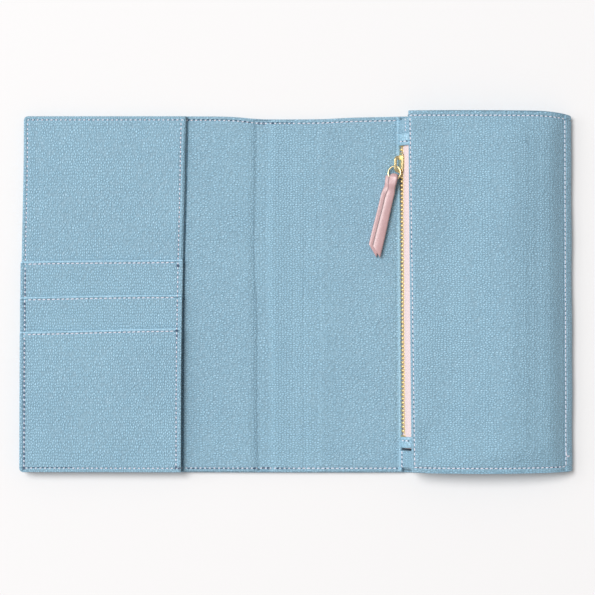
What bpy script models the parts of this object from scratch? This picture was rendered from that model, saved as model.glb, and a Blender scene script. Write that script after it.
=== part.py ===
"""Passport holder lying open: passport sleeve and card slots left, zip pocket right.

Lengths in this file are in millimetres and become metres as the meshes are made.
+X runs to the zip pocket, +Y to the top edge, +Z up from the surface it lies on.
"""
import math

import bmesh
import bpy
from mathutils import Matrix, Vector

MM = 0.001

# overall
HALF_WIDTH = 110.0
HALF_HEIGHT = 71.1
SPINE_DIP = 69.9
BOARD_IN = 1.8
FOLD_X = 12.5
FOLD_Z = 1.25
FOLD_GAP = 0.1
LINING_SETBACK = 1.35
LINING_IN = 0.4
CORNER = 2.0

# layers of the covers
COVER_TOP = 1.0
BOARD = (1.1, 1.6)
LINING = (1.7, 2.5)
LAYER_GAP = 0.1
EDGE_ROUND = 0.3

# passport sleeve and card slots
SLEEVE_TOP = 3.8
SLEEVE_HOLLOW = 3.1
SLEEVE_RIM = 4.0
SLEEVE_LEFT = -109.3
SLEEVE_IN = 0.3
MOUTH_TOP_X = -43.8
MOUTH_LOW_X = -45.8
SLOT_THICK = 0.6
SLOT_LEFT = -109.7
SLOT_RIGHT = -45.9
SLOT_EDGES = {"back": (12.8, 13.7), "middle": (-1.3, -0.3), "front": (-15.1, -13.8)}

# zip wall: the plane the zip lies in, leaning outward from the lining
WALL = (42.7, 4.6)
WALL_LEAN = 68.0
TEETH_TOP_Y = 60.6
TEETH_LOW_Y = -56.2
TOOTH_PITCH = 1.6
TOOTH_GAP_HALF = 0.5
TOOTH_OUT = 1.6
TOOTH_ROOT = 1.15
TOOTH_HALF_THICK = 0.7
TAPE_THICK = 0.35
TAPE_TOP_Y = 65.2
TAPE_LOW_Y = -61.5
LINING_EDGE_X = 40.9

# zip pocket
FLAP_LEFT = 44.6
FLAP_TOP_Y = 72.4
FLAP_LOW_Y = -71.5
FLAP_THICK = 1.0
FLAP_CROWN_X = 64.0
FLAP_CROWN_Z = 10.8
FLAP_FOOT_Z = 1.6
GUSSET_Y = 70.4
GUSSET_THICK = 0.8
POCKET_CLOTH = 0.3
CLOTH_Y = 69.2

# slider, ring and pull
SLIDER_Y = 52.0
SLIDER_HALF = 4.0
SLIDER_HALF_WIDTH = 2.0
RING_R = 2.65
RING_WIRE = 0.32
RING_HOLD = (0.0, -1.74, 2.6)
RING_TILT = 25.0
RING_SIDE = 1.39
PULL_TURN = 12.9
PULL_THICK = 0.8
PULL_SKEW = 2.3
PULL_SLIP = 1.45
HEAD_HALF = 1.5
TAIL_HALF = 2.1
LOOP_CENTRE = 0.62
LOOP_HALF = LOOP_CENTRE + PULL_THICK / 2
TAIL_HEIGHTS = (3.18, 4.13)
TAIL_OFFSET = 0.48

# thread
THREAD_WIDE = 0.6
THREAD_HIGH = 0.18
THREAD_LIFT = 0.03
STITCH_IN = 1.6
SEAM_END = 14.2

for old in list(bpy.data.objects):
    bpy.data.objects.remove(old, do_unlink=True)

HOLDER = bpy.data.collections.new("passport_holder")
bpy.context.scene.collection.children.link(HOLDER)
CUTTERS = bpy.data.collections.new("cutters")
bpy.context.scene.collection.children.link(CUTTERS)

LEATHER = ((0.33, 0.51, 0.63), 0.62, 0.0)
THREAD = ((0.80, 0.74, 0.82), 0.70, 0.0)
CARD = ((0.52, 0.46, 0.38), 0.85, 0.0)
CLOTH = ((0.42, 0.50, 0.58), 0.90, 0.0)
PINK_TAPE = ((0.95, 0.79, 0.84), 0.85, 0.0)
PINK_LEATHER = ((0.60, 0.39, 0.43), 0.50, 0.0)
GOLD = ((0.83, 0.64, 0.34), 0.25, 1.0)

BODIES = {}
WORLD = {}


def body(name, parent, world):
    """An empty on a body's joint axis; every piece of the body hangs from it."""
    empty = bpy.data.objects.new(name, None)
    empty.empty_display_size = 5 * MM
    HOLDER.objects.link(empty)
    local = world
    if parent:
        empty.parent = BODIES[parent]
        local = WORLD[parent].inverted() @ world
    empty.location = local.to_translation() * MM
    empty.rotation_euler = local.to_euler()
    BODIES[name] = empty
    WORLD[name] = world
    return empty


def own_material(ob, kind):
    colour, rough, metal = kind
    mat = bpy.data.materials.new(ob.name + "_material")
    mat.use_nodes = True
    shader = mat.node_tree.nodes["Principled BSDF"]
    shader.inputs["Base Color"].default_value = (*colour, 1.0)
    shader.inputs["Roughness"].default_value = rough
    shader.inputs["Metallic"].default_value = metal
    ob.data.materials.append(mat)


def hang(ob, on, kind, smooth=False):
    HOLDER.objects.link(ob)
    ob.parent = BODIES[on]
    own_material(ob, kind)
    if smooth and ob.type == "MESH":
        for face in ob.data.polygons:
            face.use_smooth = True
    return ob


def soften(ob, width, segments=2):
    weld = ob.modifiers.new("weld", "WELD")
    weld.merge_threshold = 0.00001
    bevel = ob.modifiers.new("bevel", "BEVEL")
    bevel.width = width * MM
    bevel.segments = segments
    bevel.limit_method = "ANGLE"
    bevel.angle_limit = math.radians(50)


def outline_curve(name, outline, thick):
    """A flat filled outline in its own XY plane, with half its thickness on each side."""
    curve = bpy.data.curves.new(name, "CURVE")
    curve.dimensions = "2D"
    curve.fill_mode = "BOTH"
    curve.extrude = thick / 2 * MM
    spline = curve.splines.new("POLY")
    spline.points.add(len(outline) - 1)
    for point, (x, y) in zip(spline.points, outline):
        point.co = (x * MM, y * MM, 0.0, 1.0)
    spline.use_cyclic_u = True
    return bpy.data.objects.new(name, curve)


def plate(name, on, outline, low, high, kind, rounding=EDGE_ROUND, segments=2, cut=None):
    """A flat piece, its outline in the coordinates of its body and its faces at two heights."""
    origin = Vector((0, 0, 0))
    if not WORLD[on].to_euler().y:
        origin = WORLD[on].to_translation()
    shifted = [(x - origin.x, y - origin.y) for x, y in outline]
    ob = outline_curve(name, shifted, high - low)
    ob.location.z = ((low + high) / 2 - origin.z) * MM
    if cut:
        ob = meshed(ob)
    hang(ob, on, kind)
    if rounding:
        soften(ob, rounding, segments)
    if cut:
        boolean(ob, cut, "DIFFERENCE")
    return ob


def arc(cx, cy, r, start, end, steps=5):
    """Points round a quarter circle, angles in degrees."""
    turn = [math.radians(start + (end - start) * i / steps) for i in range(steps + 1)]
    return [(cx + r * math.cos(a), cy + r * math.sin(a)) for a in turn]


def rounded(x0, x1, y0, y1, r):
    """A rectangle with its four corners rounded."""
    points = arc(x1 - r, y0 + r, r, -90, 0)
    points += arc(x1 - r, y1 - r, r, 0, 90)
    points += arc(x0 + r, y1 - r, r, 90, 180)
    points += arc(x0 + r, y0 + r, r, 180, 270)
    return points


def sheet(name, on, rows, thick, kind, side=-1.0, smooth=True):
    """An open surface through rows of points in world coordinates, made solid."""
    inverse = WORLD[on].inverted()
    across = len(rows[0])
    points = [inverse @ Vector(p) * MM for row in rows for p in row]
    faces = []
    for i in range(len(rows) - 1):
        for j in range(across - 1):
            a = i * across + j
            faces.append((a, a + 1, a + across + 1, a + across))
    mesh = bpy.data.meshes.new(name)
    mesh.from_pydata(points, [], faces)
    ob = bpy.data.objects.new(name, mesh)
    hang(ob, on, kind, smooth)
    solid = ob.modifiers.new("thickness", "SOLIDIFY")
    solid.thickness = thick * MM
    solid.offset = side
    solid.use_even_offset = True
    return ob


def flat_sheet(name, on, outline, low, high, kind):
    """An outlined flat surface in its body's own coordinates, made solid between two heights."""
    mesh = bpy.data.meshes.new(name)
    points = [(x * MM, y * MM, 0.0) for x, y in outline]
    mesh.from_pydata(points, [], [tuple(range(len(points)))])
    ob = bpy.data.objects.new(name, mesh)
    ob.location.z = (low + high) / 2 * MM
    hang(ob, on, kind)
    solid = ob.modifiers.new("thickness", "SOLIDIFY")
    solid.thickness = (high - low) * MM
    solid.offset = 0.0
    return ob


def thread_rows(path, closed, height):
    """Both edges of a line of thread along a path, mitred where the path turns."""
    rows = []
    count = len(path)
    for i, (x, y, z) in enumerate(path):
        before = path[(i - 1) % count] if closed or i else path[i]
        after = path[(i + 1) % count] if closed or i < count - 1 else path[i]
        out = Vector((after[0] - x, after[1] - y))
        back = Vector((x - before[0], y - before[1]))
        out = out.normalized() if out.length else back.normalized()
        back = back.normalized() if back.length else out
        mean = (out + back).normalized()
        reach = THREAD_WIDE / 2 / max(mean.dot(out), 0.5)
        row = []
        for s in (-reach, reach):
            px = x - mean.y * s
            py = y + mean.x * s
            pz = height(px) if height else z
            row.append((px, py, pz + THREAD_LIFT))
        rows.append(row)
    return rows


def seam(name, on, path, closed=False, height=None):
    """A line of thread laid along a path on a surface, as a low ribbon."""
    rows = thread_rows(path, closed, height)
    if closed:
        rows.append(rows[0])
    ob = sheet(name, on, rows, THREAD_HIGH, THREAD, side=-1.0, smooth=False)
    if closed:
        bm = bmesh.new()
        bm.from_mesh(ob.data)
        bmesh.ops.remove_doubles(bm, verts=bm.verts, dist=0.00001)
        bm.to_mesh(ob.data)
        bm.free()
    return ob


def meshed(ob):
    """The same piece as a mesh with its caps joined on, ready to be cut."""
    placed = ob.matrix_basis.copy()
    holder = bpy.context.scene.collection
    holder.objects.link(ob)
    bpy.context.view_layer.update()
    seen = ob.evaluated_get(bpy.context.evaluated_depsgraph_get())
    mesh = bpy.data.meshes.new_from_object(seen)
    name = ob.name
    curve = ob.data
    bpy.data.objects.remove(ob, do_unlink=True)
    bpy.data.curves.remove(curve)
    bm = bmesh.new()
    bm.from_mesh(mesh)
    bmesh.ops.remove_doubles(bm, verts=bm.verts, dist=0.00001)
    bmesh.ops.recalc_face_normals(bm, faces=bm.faces)
    bm.to_mesh(mesh)
    bm.free()
    mesh.name = name
    new = bpy.data.objects.new(name, mesh)
    new.matrix_basis = placed
    return new


def cutter(ob, on):
    CUTTERS.objects.link(ob)
    ob.parent = BODIES[on]
    ob.hide_render = True
    ob.display_type = "WIRE"
    return ob


def boolean(ob, tool, operation):
    cut = ob.modifiers.new(operation.lower(), "BOOLEAN")
    cut.operation = operation
    cut.solver = "EXACT"
    cut.object = tool


def flap_top(x):
    """Height of the pocket front's outer face at a distance across the holder."""
    if x < FLAP_CROWN_X:
        z = FLAP_CROWN_Z - 0.9 * ((FLAP_CROWN_X - x) / 19.0) ** 2
        if x < 46.5:
            z -= 0.5 * ((46.5 - x) / 1.9) ** 2
        return z
    t = min((x - FLAP_CROWN_X) / (HALF_WIDTH - FLAP_CROWN_X), 1.0)
    return FLAP_FOOT_Z + (FLAP_CROWN_Z - FLAP_FOOT_Z) * math.sqrt(1.0 - t ** 2.6)


def flap_point(x, depth):
    """A point under the pocket front's outer face, measured square to it."""
    step = 0.02
    low = min(x, HALF_WIDTH - step)
    along = Vector((2 * step, flap_top(low + step) - flap_top(low - step))).normalized()
    return x + along.y * depth, flap_top(x) - along.x * depth


def flap_y_top(x):
    t = max(0.0, (x - 96.0) / 14.0)
    return FLAP_TOP_Y - 1.3 * t * t


def flap_y_low(x):
    t = max(0.0, (x - 96.0) / 14.0)
    return FLAP_LOW_Y + 0.5 * t * t


# ---------------------------------------------------------------- bodies
at_wall = Matrix.Translation((WALL[0], 0, WALL[1]))
at_wall = at_wall @ Matrix.Rotation(math.radians(-WALL_LEAN), 4, "Y")
at_slider = at_wall @ Matrix.Translation((0, SLIDER_Y, 0))
at_ring = at_slider @ Matrix.Translation(RING_HOLD)
at_ring = at_ring @ Matrix.Rotation(math.radians(WALL_LEAN - RING_TILT), 4, "Y")
RING_BACK = math.sqrt(RING_R ** 2 - RING_SIDE ** 2)
RING_CENTRE = Vector((-RING_SIDE, -RING_BACK, 0))
PULL_ANGLE = math.atan(math.tan(math.radians(PULL_TURN)) / math.cos(math.radians(RING_TILT)))
PULL_HOLD = RING_CENTRE - RING_R * Vector((math.sin(PULL_ANGLE), math.cos(PULL_ANGLE), 0))
at_pull = at_ring @ Matrix.Translation(PULL_HOLD)
at_pull = at_pull @ Matrix.Rotation(-PULL_ANGLE, 4, "Z")

body("holder", None, Matrix.Identity(4))
body("left_fold", "holder", Matrix.Translation((-FOLD_X, 0, FOLD_Z)))
body("right_fold", "holder", Matrix.Translation((FOLD_X, 0, FOLD_Z)))
body("zip_wall", "right_fold", at_wall)
body("slider_track", "zip_wall", at_slider)
body("ring_hold", "slider_track", at_ring)
body("pull_hold", "ring_hold", at_pull)


# ---------------------------------------------------------------- outer cover, boards, linings
def top_left_edge(x_in, drop):
    """The dip of the top edge from the left cover into the spine."""
    return [(x_in, SPINE_DIP - drop), (-17.0, 70.0 - drop), (-21.5, 70.6 - drop), (-27.0, 71.0 - drop)]


def top_right_edge(x_in, drop):
    """The rise of the top edge from the spine to the pocket."""
    return [(44.0, HALF_HEIGHT - drop), (33.0, 70.8 - drop), (18.0, 70.6 - drop), (x_in, SPINE_DIP - drop)]


def left_outline(x_in, x_out, drop, corner):
    low = -HALF_HEIGHT + drop
    points = [(x_in, low)]
    points += top_left_edge(x_in, drop)
    points += arc(x_out + corner, HALF_HEIGHT - drop - corner, corner, 90, 180)
    points += arc(x_out + corner, low + corner, corner, 180, 270)
    return points


fold_in = FOLD_X + FOLD_GAP
cover_left = left_outline(-fold_in, -HALF_WIDTH, 0.0, CORNER)
plate("outer_cover_left", "left_fold", cover_left, 0.0, COVER_TOP, LEATHER)

spine_in = FOLD_X - FOLD_GAP
cover_spine = [(-spine_in, -HALF_HEIGHT), (spine_in, -HALF_HEIGHT)]
cover_spine += [(spine_in, SPINE_DIP), (-spine_in, SPINE_DIP)]
plate("outer_cover_spine", "holder", cover_spine, 0.0, COVER_TOP, LEATHER, rounding=0.2)

cover_right = arc(HALF_WIDTH - CORNER, -HALF_HEIGHT + CORNER, CORNER, -90, 0)
cover_right += arc(HALF_WIDTH - CORNER, HALF_HEIGHT - CORNER, CORNER, 0, 90)
cover_right += top_right_edge(fold_in, 0.0)
cover_right += [(fold_in, -HALF_HEIGHT)]
plate("outer_cover_right", "right_fold", cover_right, 0.0, COVER_TOP, LEATHER)

board_y = HALF_HEIGHT - BOARD_IN
for side, on in ((-1, "left_fold"), (1, "right_fold")):
    ends = sorted((side * 16.0, side * (HALF_WIDTH - BOARD_IN)))
    name = "board_left" if side < 0 else "board_right"
    plate(name, on, rounded(ends[0], ends[1], -board_y, board_y, 1.5), *BOARD, CARD, rounding=0)

stay = rounded(-11.8, 11.8, -68.0, 68.0, 1.0)
plate("spine_interfacing", "holder", stay, *BOARD, CLOTH, rounding=0)

lining_in = FOLD_X + LINING_SETBACK
lining_left = left_outline(-lining_in, -HALF_WIDTH + LINING_IN, LINING_IN, CORNER - LINING_IN)
plate("lining_left", "left_fold", lining_left, *LINING, LEATHER, rounding=0.2)

spine_x = FOLD_X - LINING_SETBACK
lining_y = HALF_HEIGHT - LINING_IN
dip_y = SPINE_DIP - LINING_IN
lining_spine = [(-spine_x, -lining_y), (spine_x, -lining_y), (spine_x, dip_y), (-spine_x, dip_y)]
plate("lining_spine", "holder", lining_spine, *LINING, LEATHER, rounding=0.2)

lining_right = [(lining_in, -lining_y), (LINING_EDGE_X, -lining_y), (LINING_EDGE_X, lining_y)]
lining_right += top_right_edge(lining_in, LINING_IN)[1:]
plate("lining_right", "right_fold", lining_right, *LINING, LEATHER)


# ---------------------------------------------------------------- passport sleeve and card slots
def mouth_x(y):
    """The sleeve's open edge leans a little, further in at the top."""
    t = (y + HALF_HEIGHT) / (2 * HALF_HEIGHT)
    return MOUTH_LOW_X + (MOUTH_TOP_X - MOUTH_LOW_X) * t


sleeve_y = HALF_HEIGHT - SLEEVE_IN
sleeve_outline = [(mouth_x(-sleeve_y), -sleeve_y), (mouth_x(sleeve_y), sleeve_y)]
sleeve_outline += arc(SLEEVE_LEFT + CORNER, sleeve_y - CORNER, CORNER, 90, 180)
sleeve_outline += arc(SLEEVE_LEFT + CORNER, -sleeve_y + CORNER, CORNER, 180, 270)
sleeve_low = LINING[1] + LAYER_GAP
rim_y = HALF_HEIGHT - SLEEVE_RIM
rim_x = SLEEVE_LEFT + SLEEVE_RIM
hollow = [(-30.0, -rim_y), (-30.0, rim_y), (rim_x, rim_y), (rim_x, -rim_y)]
hollow = [(x + FOLD_X, y) for x, y in hollow]
sleeve_cut = outline_curve("sleeve_hollow", hollow, SLEEVE_HOLLOW - 2.0)
sleeve_cut.location.z = ((SLEEVE_HOLLOW + 2.0) / 2 - FOLD_Z) * MM
sleeve_cut = cutter(meshed(sleeve_cut), "left_fold")
plate("passport_sleeve", "left_fold", sleeve_outline, sleeve_low, SLEEVE_TOP, LEATHER, cut=sleeve_cut)

slot_levels = {}
level = SLEEVE_TOP + LAYER_GAP
for slot, (left_y, right_y) in SLOT_EDGES.items():
    outline = [(SLOT_RIGHT, -sleeve_y + 0.1), (SLOT_RIGHT, right_y), (SLOT_LEFT, left_y)]
    outline += arc(SLOT_LEFT + CORNER, -sleeve_y + 0.1 + CORNER, CORNER, 180, 270)
    plate("card_slot_" + slot, "left_fold", outline, level, level + SLOT_THICK, LEATHER, rounding=0.2)
    slot_levels[slot] = level + SLOT_THICK
    level += SLOT_THICK + LAYER_GAP

# ---------------------------------------------------------------- zip pocket
flap_stations = [FLAP_LEFT, 45.2, 46.5, 50.0, 55.0, 60.0, 66.0, 72.0, 78.0, 84.0, 89.0]
flap_stations += [93.5, 97.5, 101.0, 104.0, 106.2, 107.8, 109.0, 109.7, HALF_WIDTH]
flap_rows = [
    [(x, flap_y_low(x), flap_top(x)), (x, 0.0, flap_top(x)), (x, flap_y_top(x), flap_top(x))]
    for x in reversed(flap_stations)
]
sheet("pocket_front", "right_fold", flap_rows, FLAP_THICK, LEATHER)

cloth_rows = []
for x in reversed([x for x in flap_stations if 46.0 < x < 107.0]):
    px, pz = flap_point(x, FLAP_THICK + 0.12)
    cloth_rows.append([(px, -CLOTH_Y, pz), (px, CLOTH_Y, pz)])
sheet("pocket_lining_front", "right_fold", cloth_rows, POCKET_CLOTH, CLOTH)

cloth_back = rounded(41.9, HALF_WIDTH - BOARD_IN, -CLOTH_Y, CLOTH_Y, 1.0)
cloth_z = (BOARD[1] + 0.05, BOARD[1] + 0.05 + POCKET_CLOTH)
plate("pocket_lining_back", "right_fold", cloth_back, *cloth_z, CLOTH, rounding=0)

for side, name in ((-1, "gusset_bottom"), (1, "gusset_top")):
    y = side * GUSSET_Y
    wall_end = -63.4 if side < 0 else 66.6
    low_row = []
    high_row = []
    for x in [x for x in reversed(flap_stations) if 47.0 < x < 108.5]:
        px, pz = flap_point(x, FLAP_THICK + 0.2)
        low_row.append((px, y, COVER_TOP + 0.15))
        high_row.append((px, y, pz))
    turn = ((44.5, 0.0, 1.15, 46.9), (42.9, 0.5, 1.5, 46.2))
    turn += ((42.1, 1.5, 2.15, 45.8), (41.8, 2.6, 2.15, 45.6))
    for low_x, inward, low_z, high_x in turn:
        low_row.append((low_x, y - side * inward, low_z))
        high_row.append((high_x, y - side * inward, 8.1))
    low_row.append((41.8, wall_end, 2.15))
    high_row.append((45.6, wall_end, 8.1))
    rows = [low_row, high_row] if side < 0 else [high_row, low_row]
    sheet(name, "right_fold", rows, GUSSET_THICK, LEATHER)

# ---------------------------------------------------------------- zip
def on_wall(p, y, q):
    """World position of a point given in the zip wall's own coordinates."""
    return WORLD["zip_wall"] @ Vector((p, y, q))


tape_edge = TOOTH_OUT + 0.12
upper = on_wall(tape_edge, 0, 0.1)
outer_profile = [(upper.x, upper.z), (44.35, 7.4), (45.05, 8.35)]
rows = [[(x, TAPE_LOW_Y, z), (x, TAPE_TOP_Y, z)] for x, z in reversed(outer_profile)]
sheet("zip_tape_outer", "right_fold", rows, TAPE_THICK, PINK_TAPE)
lower = on_wall(-tape_edge, 0, 0.1)
inner_profile = [(41.3, 1.85), (41.3, 2.45), (lower.x, lower.z)]
rows = [[(x, TAPE_LOW_Y, z), (x, TAPE_TOP_Y, z)] for x, z in reversed(inner_profile)]
sheet("zip_tape_inner", "right_fold", rows, TAPE_THICK, PINK_TAPE)

for side, name in ((-1, "zip_teeth_inner"), (1, "zip_teeth_outer")):
    shift = 0.0 if side > 0 else TOOTH_PITCH / 2
    start = TEETH_LOW_Y + shift
    teeth = int((TEETH_TOP_Y - start) / TOOTH_PITCH)
    comb = [(side * TOOTH_OUT, start), (side * TOOTH_OUT, start + teeth * TOOTH_PITCH)]
    for k in reversed(range(teeth)):
        y = start + k * TOOTH_PITCH
        comb.append((side * TOOTH_ROOT, y + TOOTH_PITCH * 0.95))
        comb.append((side * TOOTH_GAP_HALF, y + TOOTH_PITCH * 0.75))
        comb.append((side * TOOTH_GAP_HALF, y + TOOTH_PITCH * 0.30))
        comb.append((side * TOOTH_ROOT, y + TOOTH_PITCH * 0.10))
    if side < 0:
        comb.reverse()
    flat_sheet(name, "zip_wall", comb, -TOOTH_HALF_THICK, TOOTH_HALF_THICK, GOLD)

stop = rounded(-TOOTH_OUT, TOOTH_OUT, TEETH_LOW_Y - 1.2, TEETH_LOW_Y - 0.2, 0.3)
plate("zip_stop_bottom", "zip_wall", stop, -TOOTH_HALF_THICK, TOOTH_HALF_THICK, GOLD, rounding=0.15)

TAB = (0.35, 1.15)
tab_top = rounded(-1.2, 4.2, 61.0, 65.4, 0.7)
plate("zip_tab_top", "zip_wall", tab_top, *TAB, LEATHER, rounding=0.2)
tab_low = arc(-1.2 + 1.6, -61.9 + 1.6, 1.6, 180, 270)
tab_low += arc(4.2 - 1.6, -61.9 + 1.6, 1.6, 270, 360)
tab_low += [(4.2, -57.7), (-1.2, -57.7)]
plate("zip_tab_bottom", "zip_wall", tab_low, *TAB, LEATHER, rounding=0.2)
for name, y in (("seam_tab_top", 63.0), ("seam_tab_bottom", -58.9)):
    line = rounded(-0.6, 3.7, y - 0.25, y + 0.25, 0.2)
    plate(name, "zip_wall", line, TAB[1] + THREAD_LIFT, TAB[1] + THREAD_HIGH, THREAD, rounding=0)

# ---------------------------------------------------------------- slider with its bridge
LIP_IN = 1.76
FRONT = (0.85, 1.35)
BACK = (-1.25, -0.85)
WEB = 0.33
half = SLIDER_HALF_WIDTH
profile = [(-half, 0.38), (-LIP_IN, 0.38), (-LIP_IN, FRONT[0]), (-WEB, FRONT[0]), (-WEB, BACK[1])]
profile += [(-LIP_IN, BACK[1]), (-LIP_IN, -0.5), (-half, -0.5), (-half, BACK[0])]
mirror = [(-p, q) for p, q in reversed(profile)]
profile = profile + mirror + [(half, FRONT[1]), (-half, FRONT[1])]
slider = outline_curve("slider_body", profile, 2 * SLIDER_HALF)
slider.rotation_euler = (math.radians(90), 0, 0)
slider = meshed(slider)
hang(slider, "slider_track", GOLD)
trim = arc(0.9, 3.0, 1.1, 0, 90, 4) + arc(-0.9, 3.0, 1.1, 90, 180, 4)
trim += [(-2.0, 0.0), (-1.7, -3.0)] + arc(-1.0, -3.3, 0.7, 180, 270, 3)
trim += arc(1.0, -3.3, 0.7, 270, 360, 3) + [(1.7, -3.0), (2.0, 0.0)]
slider_trim = cutter(meshed(outline_curve("slider_trim", trim, 6.0)), "slider_track")
boolean(slider, slider_trim, "INTERSECT")

arch = [(-3.9, 1.45), (-2.9, 1.45)]
arch += arc(-2.3, 2.8, 0.6, 180, 90, 3) + arc(1.3, 2.8, 0.6, 90, 0, 3)
arch += [(1.9, 1.45), (3.1, 1.45)]
arch += arc(1.6, 2.45, 1.5, 0, 90, 4) + arc(-2.4, 2.45, 1.5, 90, 180, 4)
bridge = outline_curve("slider_bridge", arch, 0.6)
bridge.rotation_euler = (math.radians(90), 0, math.radians(90))
hang(bridge, "slider_track", GOLD)
soften(bridge, 0.12, 2)

# ---------------------------------------------------------------- ring
bpy.ops.mesh.primitive_torus_add(
    major_segments=36,
    minor_segments=10,
    major_radius=RING_R * MM,
    minor_radius=RING_WIRE * MM,
)
ring = bpy.context.object
ring.name = "pull_ring"
ring.data.name = "pull_ring"
for group in list(ring.users_collection):
    group.objects.unlink(ring)
ring.location = RING_CENTRE * MM
hang(ring, "ring_hold", GOLD, smooth=True)

# ---------------------------------------------------------------- pull: a strip folded over the ring
turn = math.radians(PULL_TURN)
tail_along = Vector((-math.sin(turn), -math.cos(turn), 0))
tail_across = Vector((math.cos(turn), -math.sin(turn), 0))
hold = WORLD["pull_hold"]
hold_at = hold.to_translation()


def eased(t):
    t = min(max(t, 0.0), 1.0)
    return t * t * (3 - 2 * t)


def pull_row(s, offset, half, slip, tail_z, skew=0.0):
    """Two edge points of the strip at a distance along it from the ring.

    Near the ring the strip keeps to the ring's own plane; from there it turns flat.
    """
    flat = eased((s - 1.0) / 6.0)
    row = []
    for side in (-1, 1):
        near = hold @ Vector((side * half + slip, -s, offset))
        level = hold_at + tail_along * (s + side * skew) + tail_across * (side * half + slip)
        level.z = tail_z
        row.append(near.lerp(level, flat))
    return row


def pull_tail(s, side):
    """One row of a tail: side -1 is the tail underneath, side 1 the one on top."""
    upper_tail = side > 0
    grow = min(max((s - 2.2) / 2.2, 0.0), 1.0)
    half = HEAD_HALF + (TAIL_HALF - HEAD_HALF) * grow
    pinch = eased((s - 2.0) / 3.2)
    offset = side * (LOOP_HALF + (TAIL_OFFSET - LOOP_HALF) * pinch)
    slip = 0.0 if upper_tail else -PULL_SLIP * eased((s - 2.0) / 6.0)
    skew = PULL_SKEW if s == stations[0] else 0.0
    return pull_row(s, offset, half, slip, TAIL_HEIGHTS[upper_tail], skew)


stations = (29.5, 26.0, 22.0, 17.0, 12.5, 9.5, 7.5, 6.0, 4.8, 3.8, 3.0, 2.0)
LOOP_STEPS = 8
pull_rows = [pull_tail(s, -1) for s in stations]
for k in range(LOOP_STEPS + 1):
    a = math.radians(-90 - 180 * k / LOOP_STEPS)
    s = -LOOP_CENTRE + LOOP_HALF * math.cos(a)
    pull_rows.append(pull_row(s, LOOP_HALF * math.sin(a), HEAD_HALF, 0.0, TAIL_HEIGHTS[0]))
pull_rows += [pull_tail(s, 1) for s in reversed(stations)]
sheet("pull_strap", "pull_hold", pull_rows, PULL_THICK, PINK_LEATHER, side=0.0)

# ---------------------------------------------------------------- seams
LEFT_SEAM_X = -107.7
MOUTH_SEAM_IN = 2.1
MOUTH_SEAM_Y = 68.6
SLOT_SEAM_DOWN = 1.25
cover_z = LINING[1]
stitch_y = HALF_HEIGHT - STITCH_IN
edge_left = [(-SEAM_END, SPINE_DIP - STITCH_IN, cover_z), (-17.0, 70.0 - STITCH_IN, cover_z)]
edge_left += [(-21.5, 70.6 - STITCH_IN, cover_z), (-27.0, stitch_y, cover_z)]
edge_left += [(MOUTH_TOP_X + 1.3, stitch_y, cover_z), (MOUTH_TOP_X + 0.2, stitch_y, SLEEVE_TOP)]
edge_left += [(LEFT_SEAM_X, stitch_y, SLEEVE_TOP)]
before = SLEEVE_TOP
for slot, (y, _) in SLOT_EDGES.items():
    edge_left += [(LEFT_SEAM_X, y + 1.0, before), (LEFT_SEAM_X, y + 0.15, slot_levels[slot])]
    before = slot_levels[slot]
edge_left += [(LEFT_SEAM_X, -stitch_y, before), (SLOT_RIGHT + 0.2, -stitch_y, before)]
edge_left += [(SLOT_RIGHT + 3.4, -stitch_y, cover_z), (-SEAM_END, -stitch_y, cover_z)]
seam("seam_left_edge", "left_fold", edge_left)


def mouth_seam(y, z):
    return mouth_x(y) - MOUTH_SEAM_IN, y, z


mouth = [mouth_seam(MOUTH_SEAM_Y, SLEEVE_TOP)]
before = SLEEVE_TOP
for slot, (_, y) in SLOT_EDGES.items():
    mouth += [mouth_seam(y + 1.0, before), mouth_seam(y + 0.15, slot_levels[slot])]
    before = slot_levels[slot]
mouth += [mouth_seam(-MOUTH_SEAM_Y, before)]
seam("seam_sleeve_mouth", "left_fold", mouth)

for slot, (left_y, right_y) in SLOT_EDGES.items():
    z = slot_levels[slot]
    lean_y = (right_y - left_y) / (SLOT_RIGHT - SLOT_LEFT)
    ends = (-106.9, -48.9)
    line = [(x, left_y - SLOT_SEAM_DOWN + lean_y * (x - SLOT_LEFT), z) for x in ends]
    seam("seam_slot_" + slot, "left_fold", line)

for name, y in (("seam_spine_top", SPINE_DIP - STITCH_IN), ("seam_spine_bottom", -stitch_y)):
    seam(name, "holder", [(-10.8, y, cover_z), (10.8, y, cover_z)])
right_top = [(SEAM_END, SPINE_DIP - STITCH_IN, cover_z), (18.0, 70.6 - STITCH_IN, cover_z)]
right_top += [(33.0, 70.8 - STITCH_IN, cover_z), (LINING_EDGE_X - 0.6, stitch_y, cover_z)]
seam("seam_right_top", "right_fold", right_top)
right_low = [(SEAM_END, -stitch_y, cover_z), (LINING_EDGE_X - 0.6, -stitch_y, cover_z)]
seam("seam_right_bottom", "right_fold", right_low)

# the pocket's own seam runs all round it, down the zip side as well
ring_x = (46.2, 107.4)
pocket_path = []
across = [x for x in flap_stations if ring_x[0] + 0.7 < x < ring_x[1] - 0.7]
for x in [ring_x[0], *across, ring_x[1]]:
    pocket_path.append((x, flap_y_low(x) + STITCH_IN, 0.0))
for x in reversed([ring_x[0], *across, ring_x[1]]):
    pocket_path.append((x, flap_y_top(x) - STITCH_IN, 0.0))
seam("seam_pocket_front", "right_fold", pocket_path, closed=True, height=flap_top)
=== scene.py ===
"""The passport holder's visible surface. Lengths are in millimetres until a mesh is made."""

import math

import bmesh
import bpy
import numpy as np
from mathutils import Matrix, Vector
from mathutils.bvhtree import BVHTree


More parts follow.
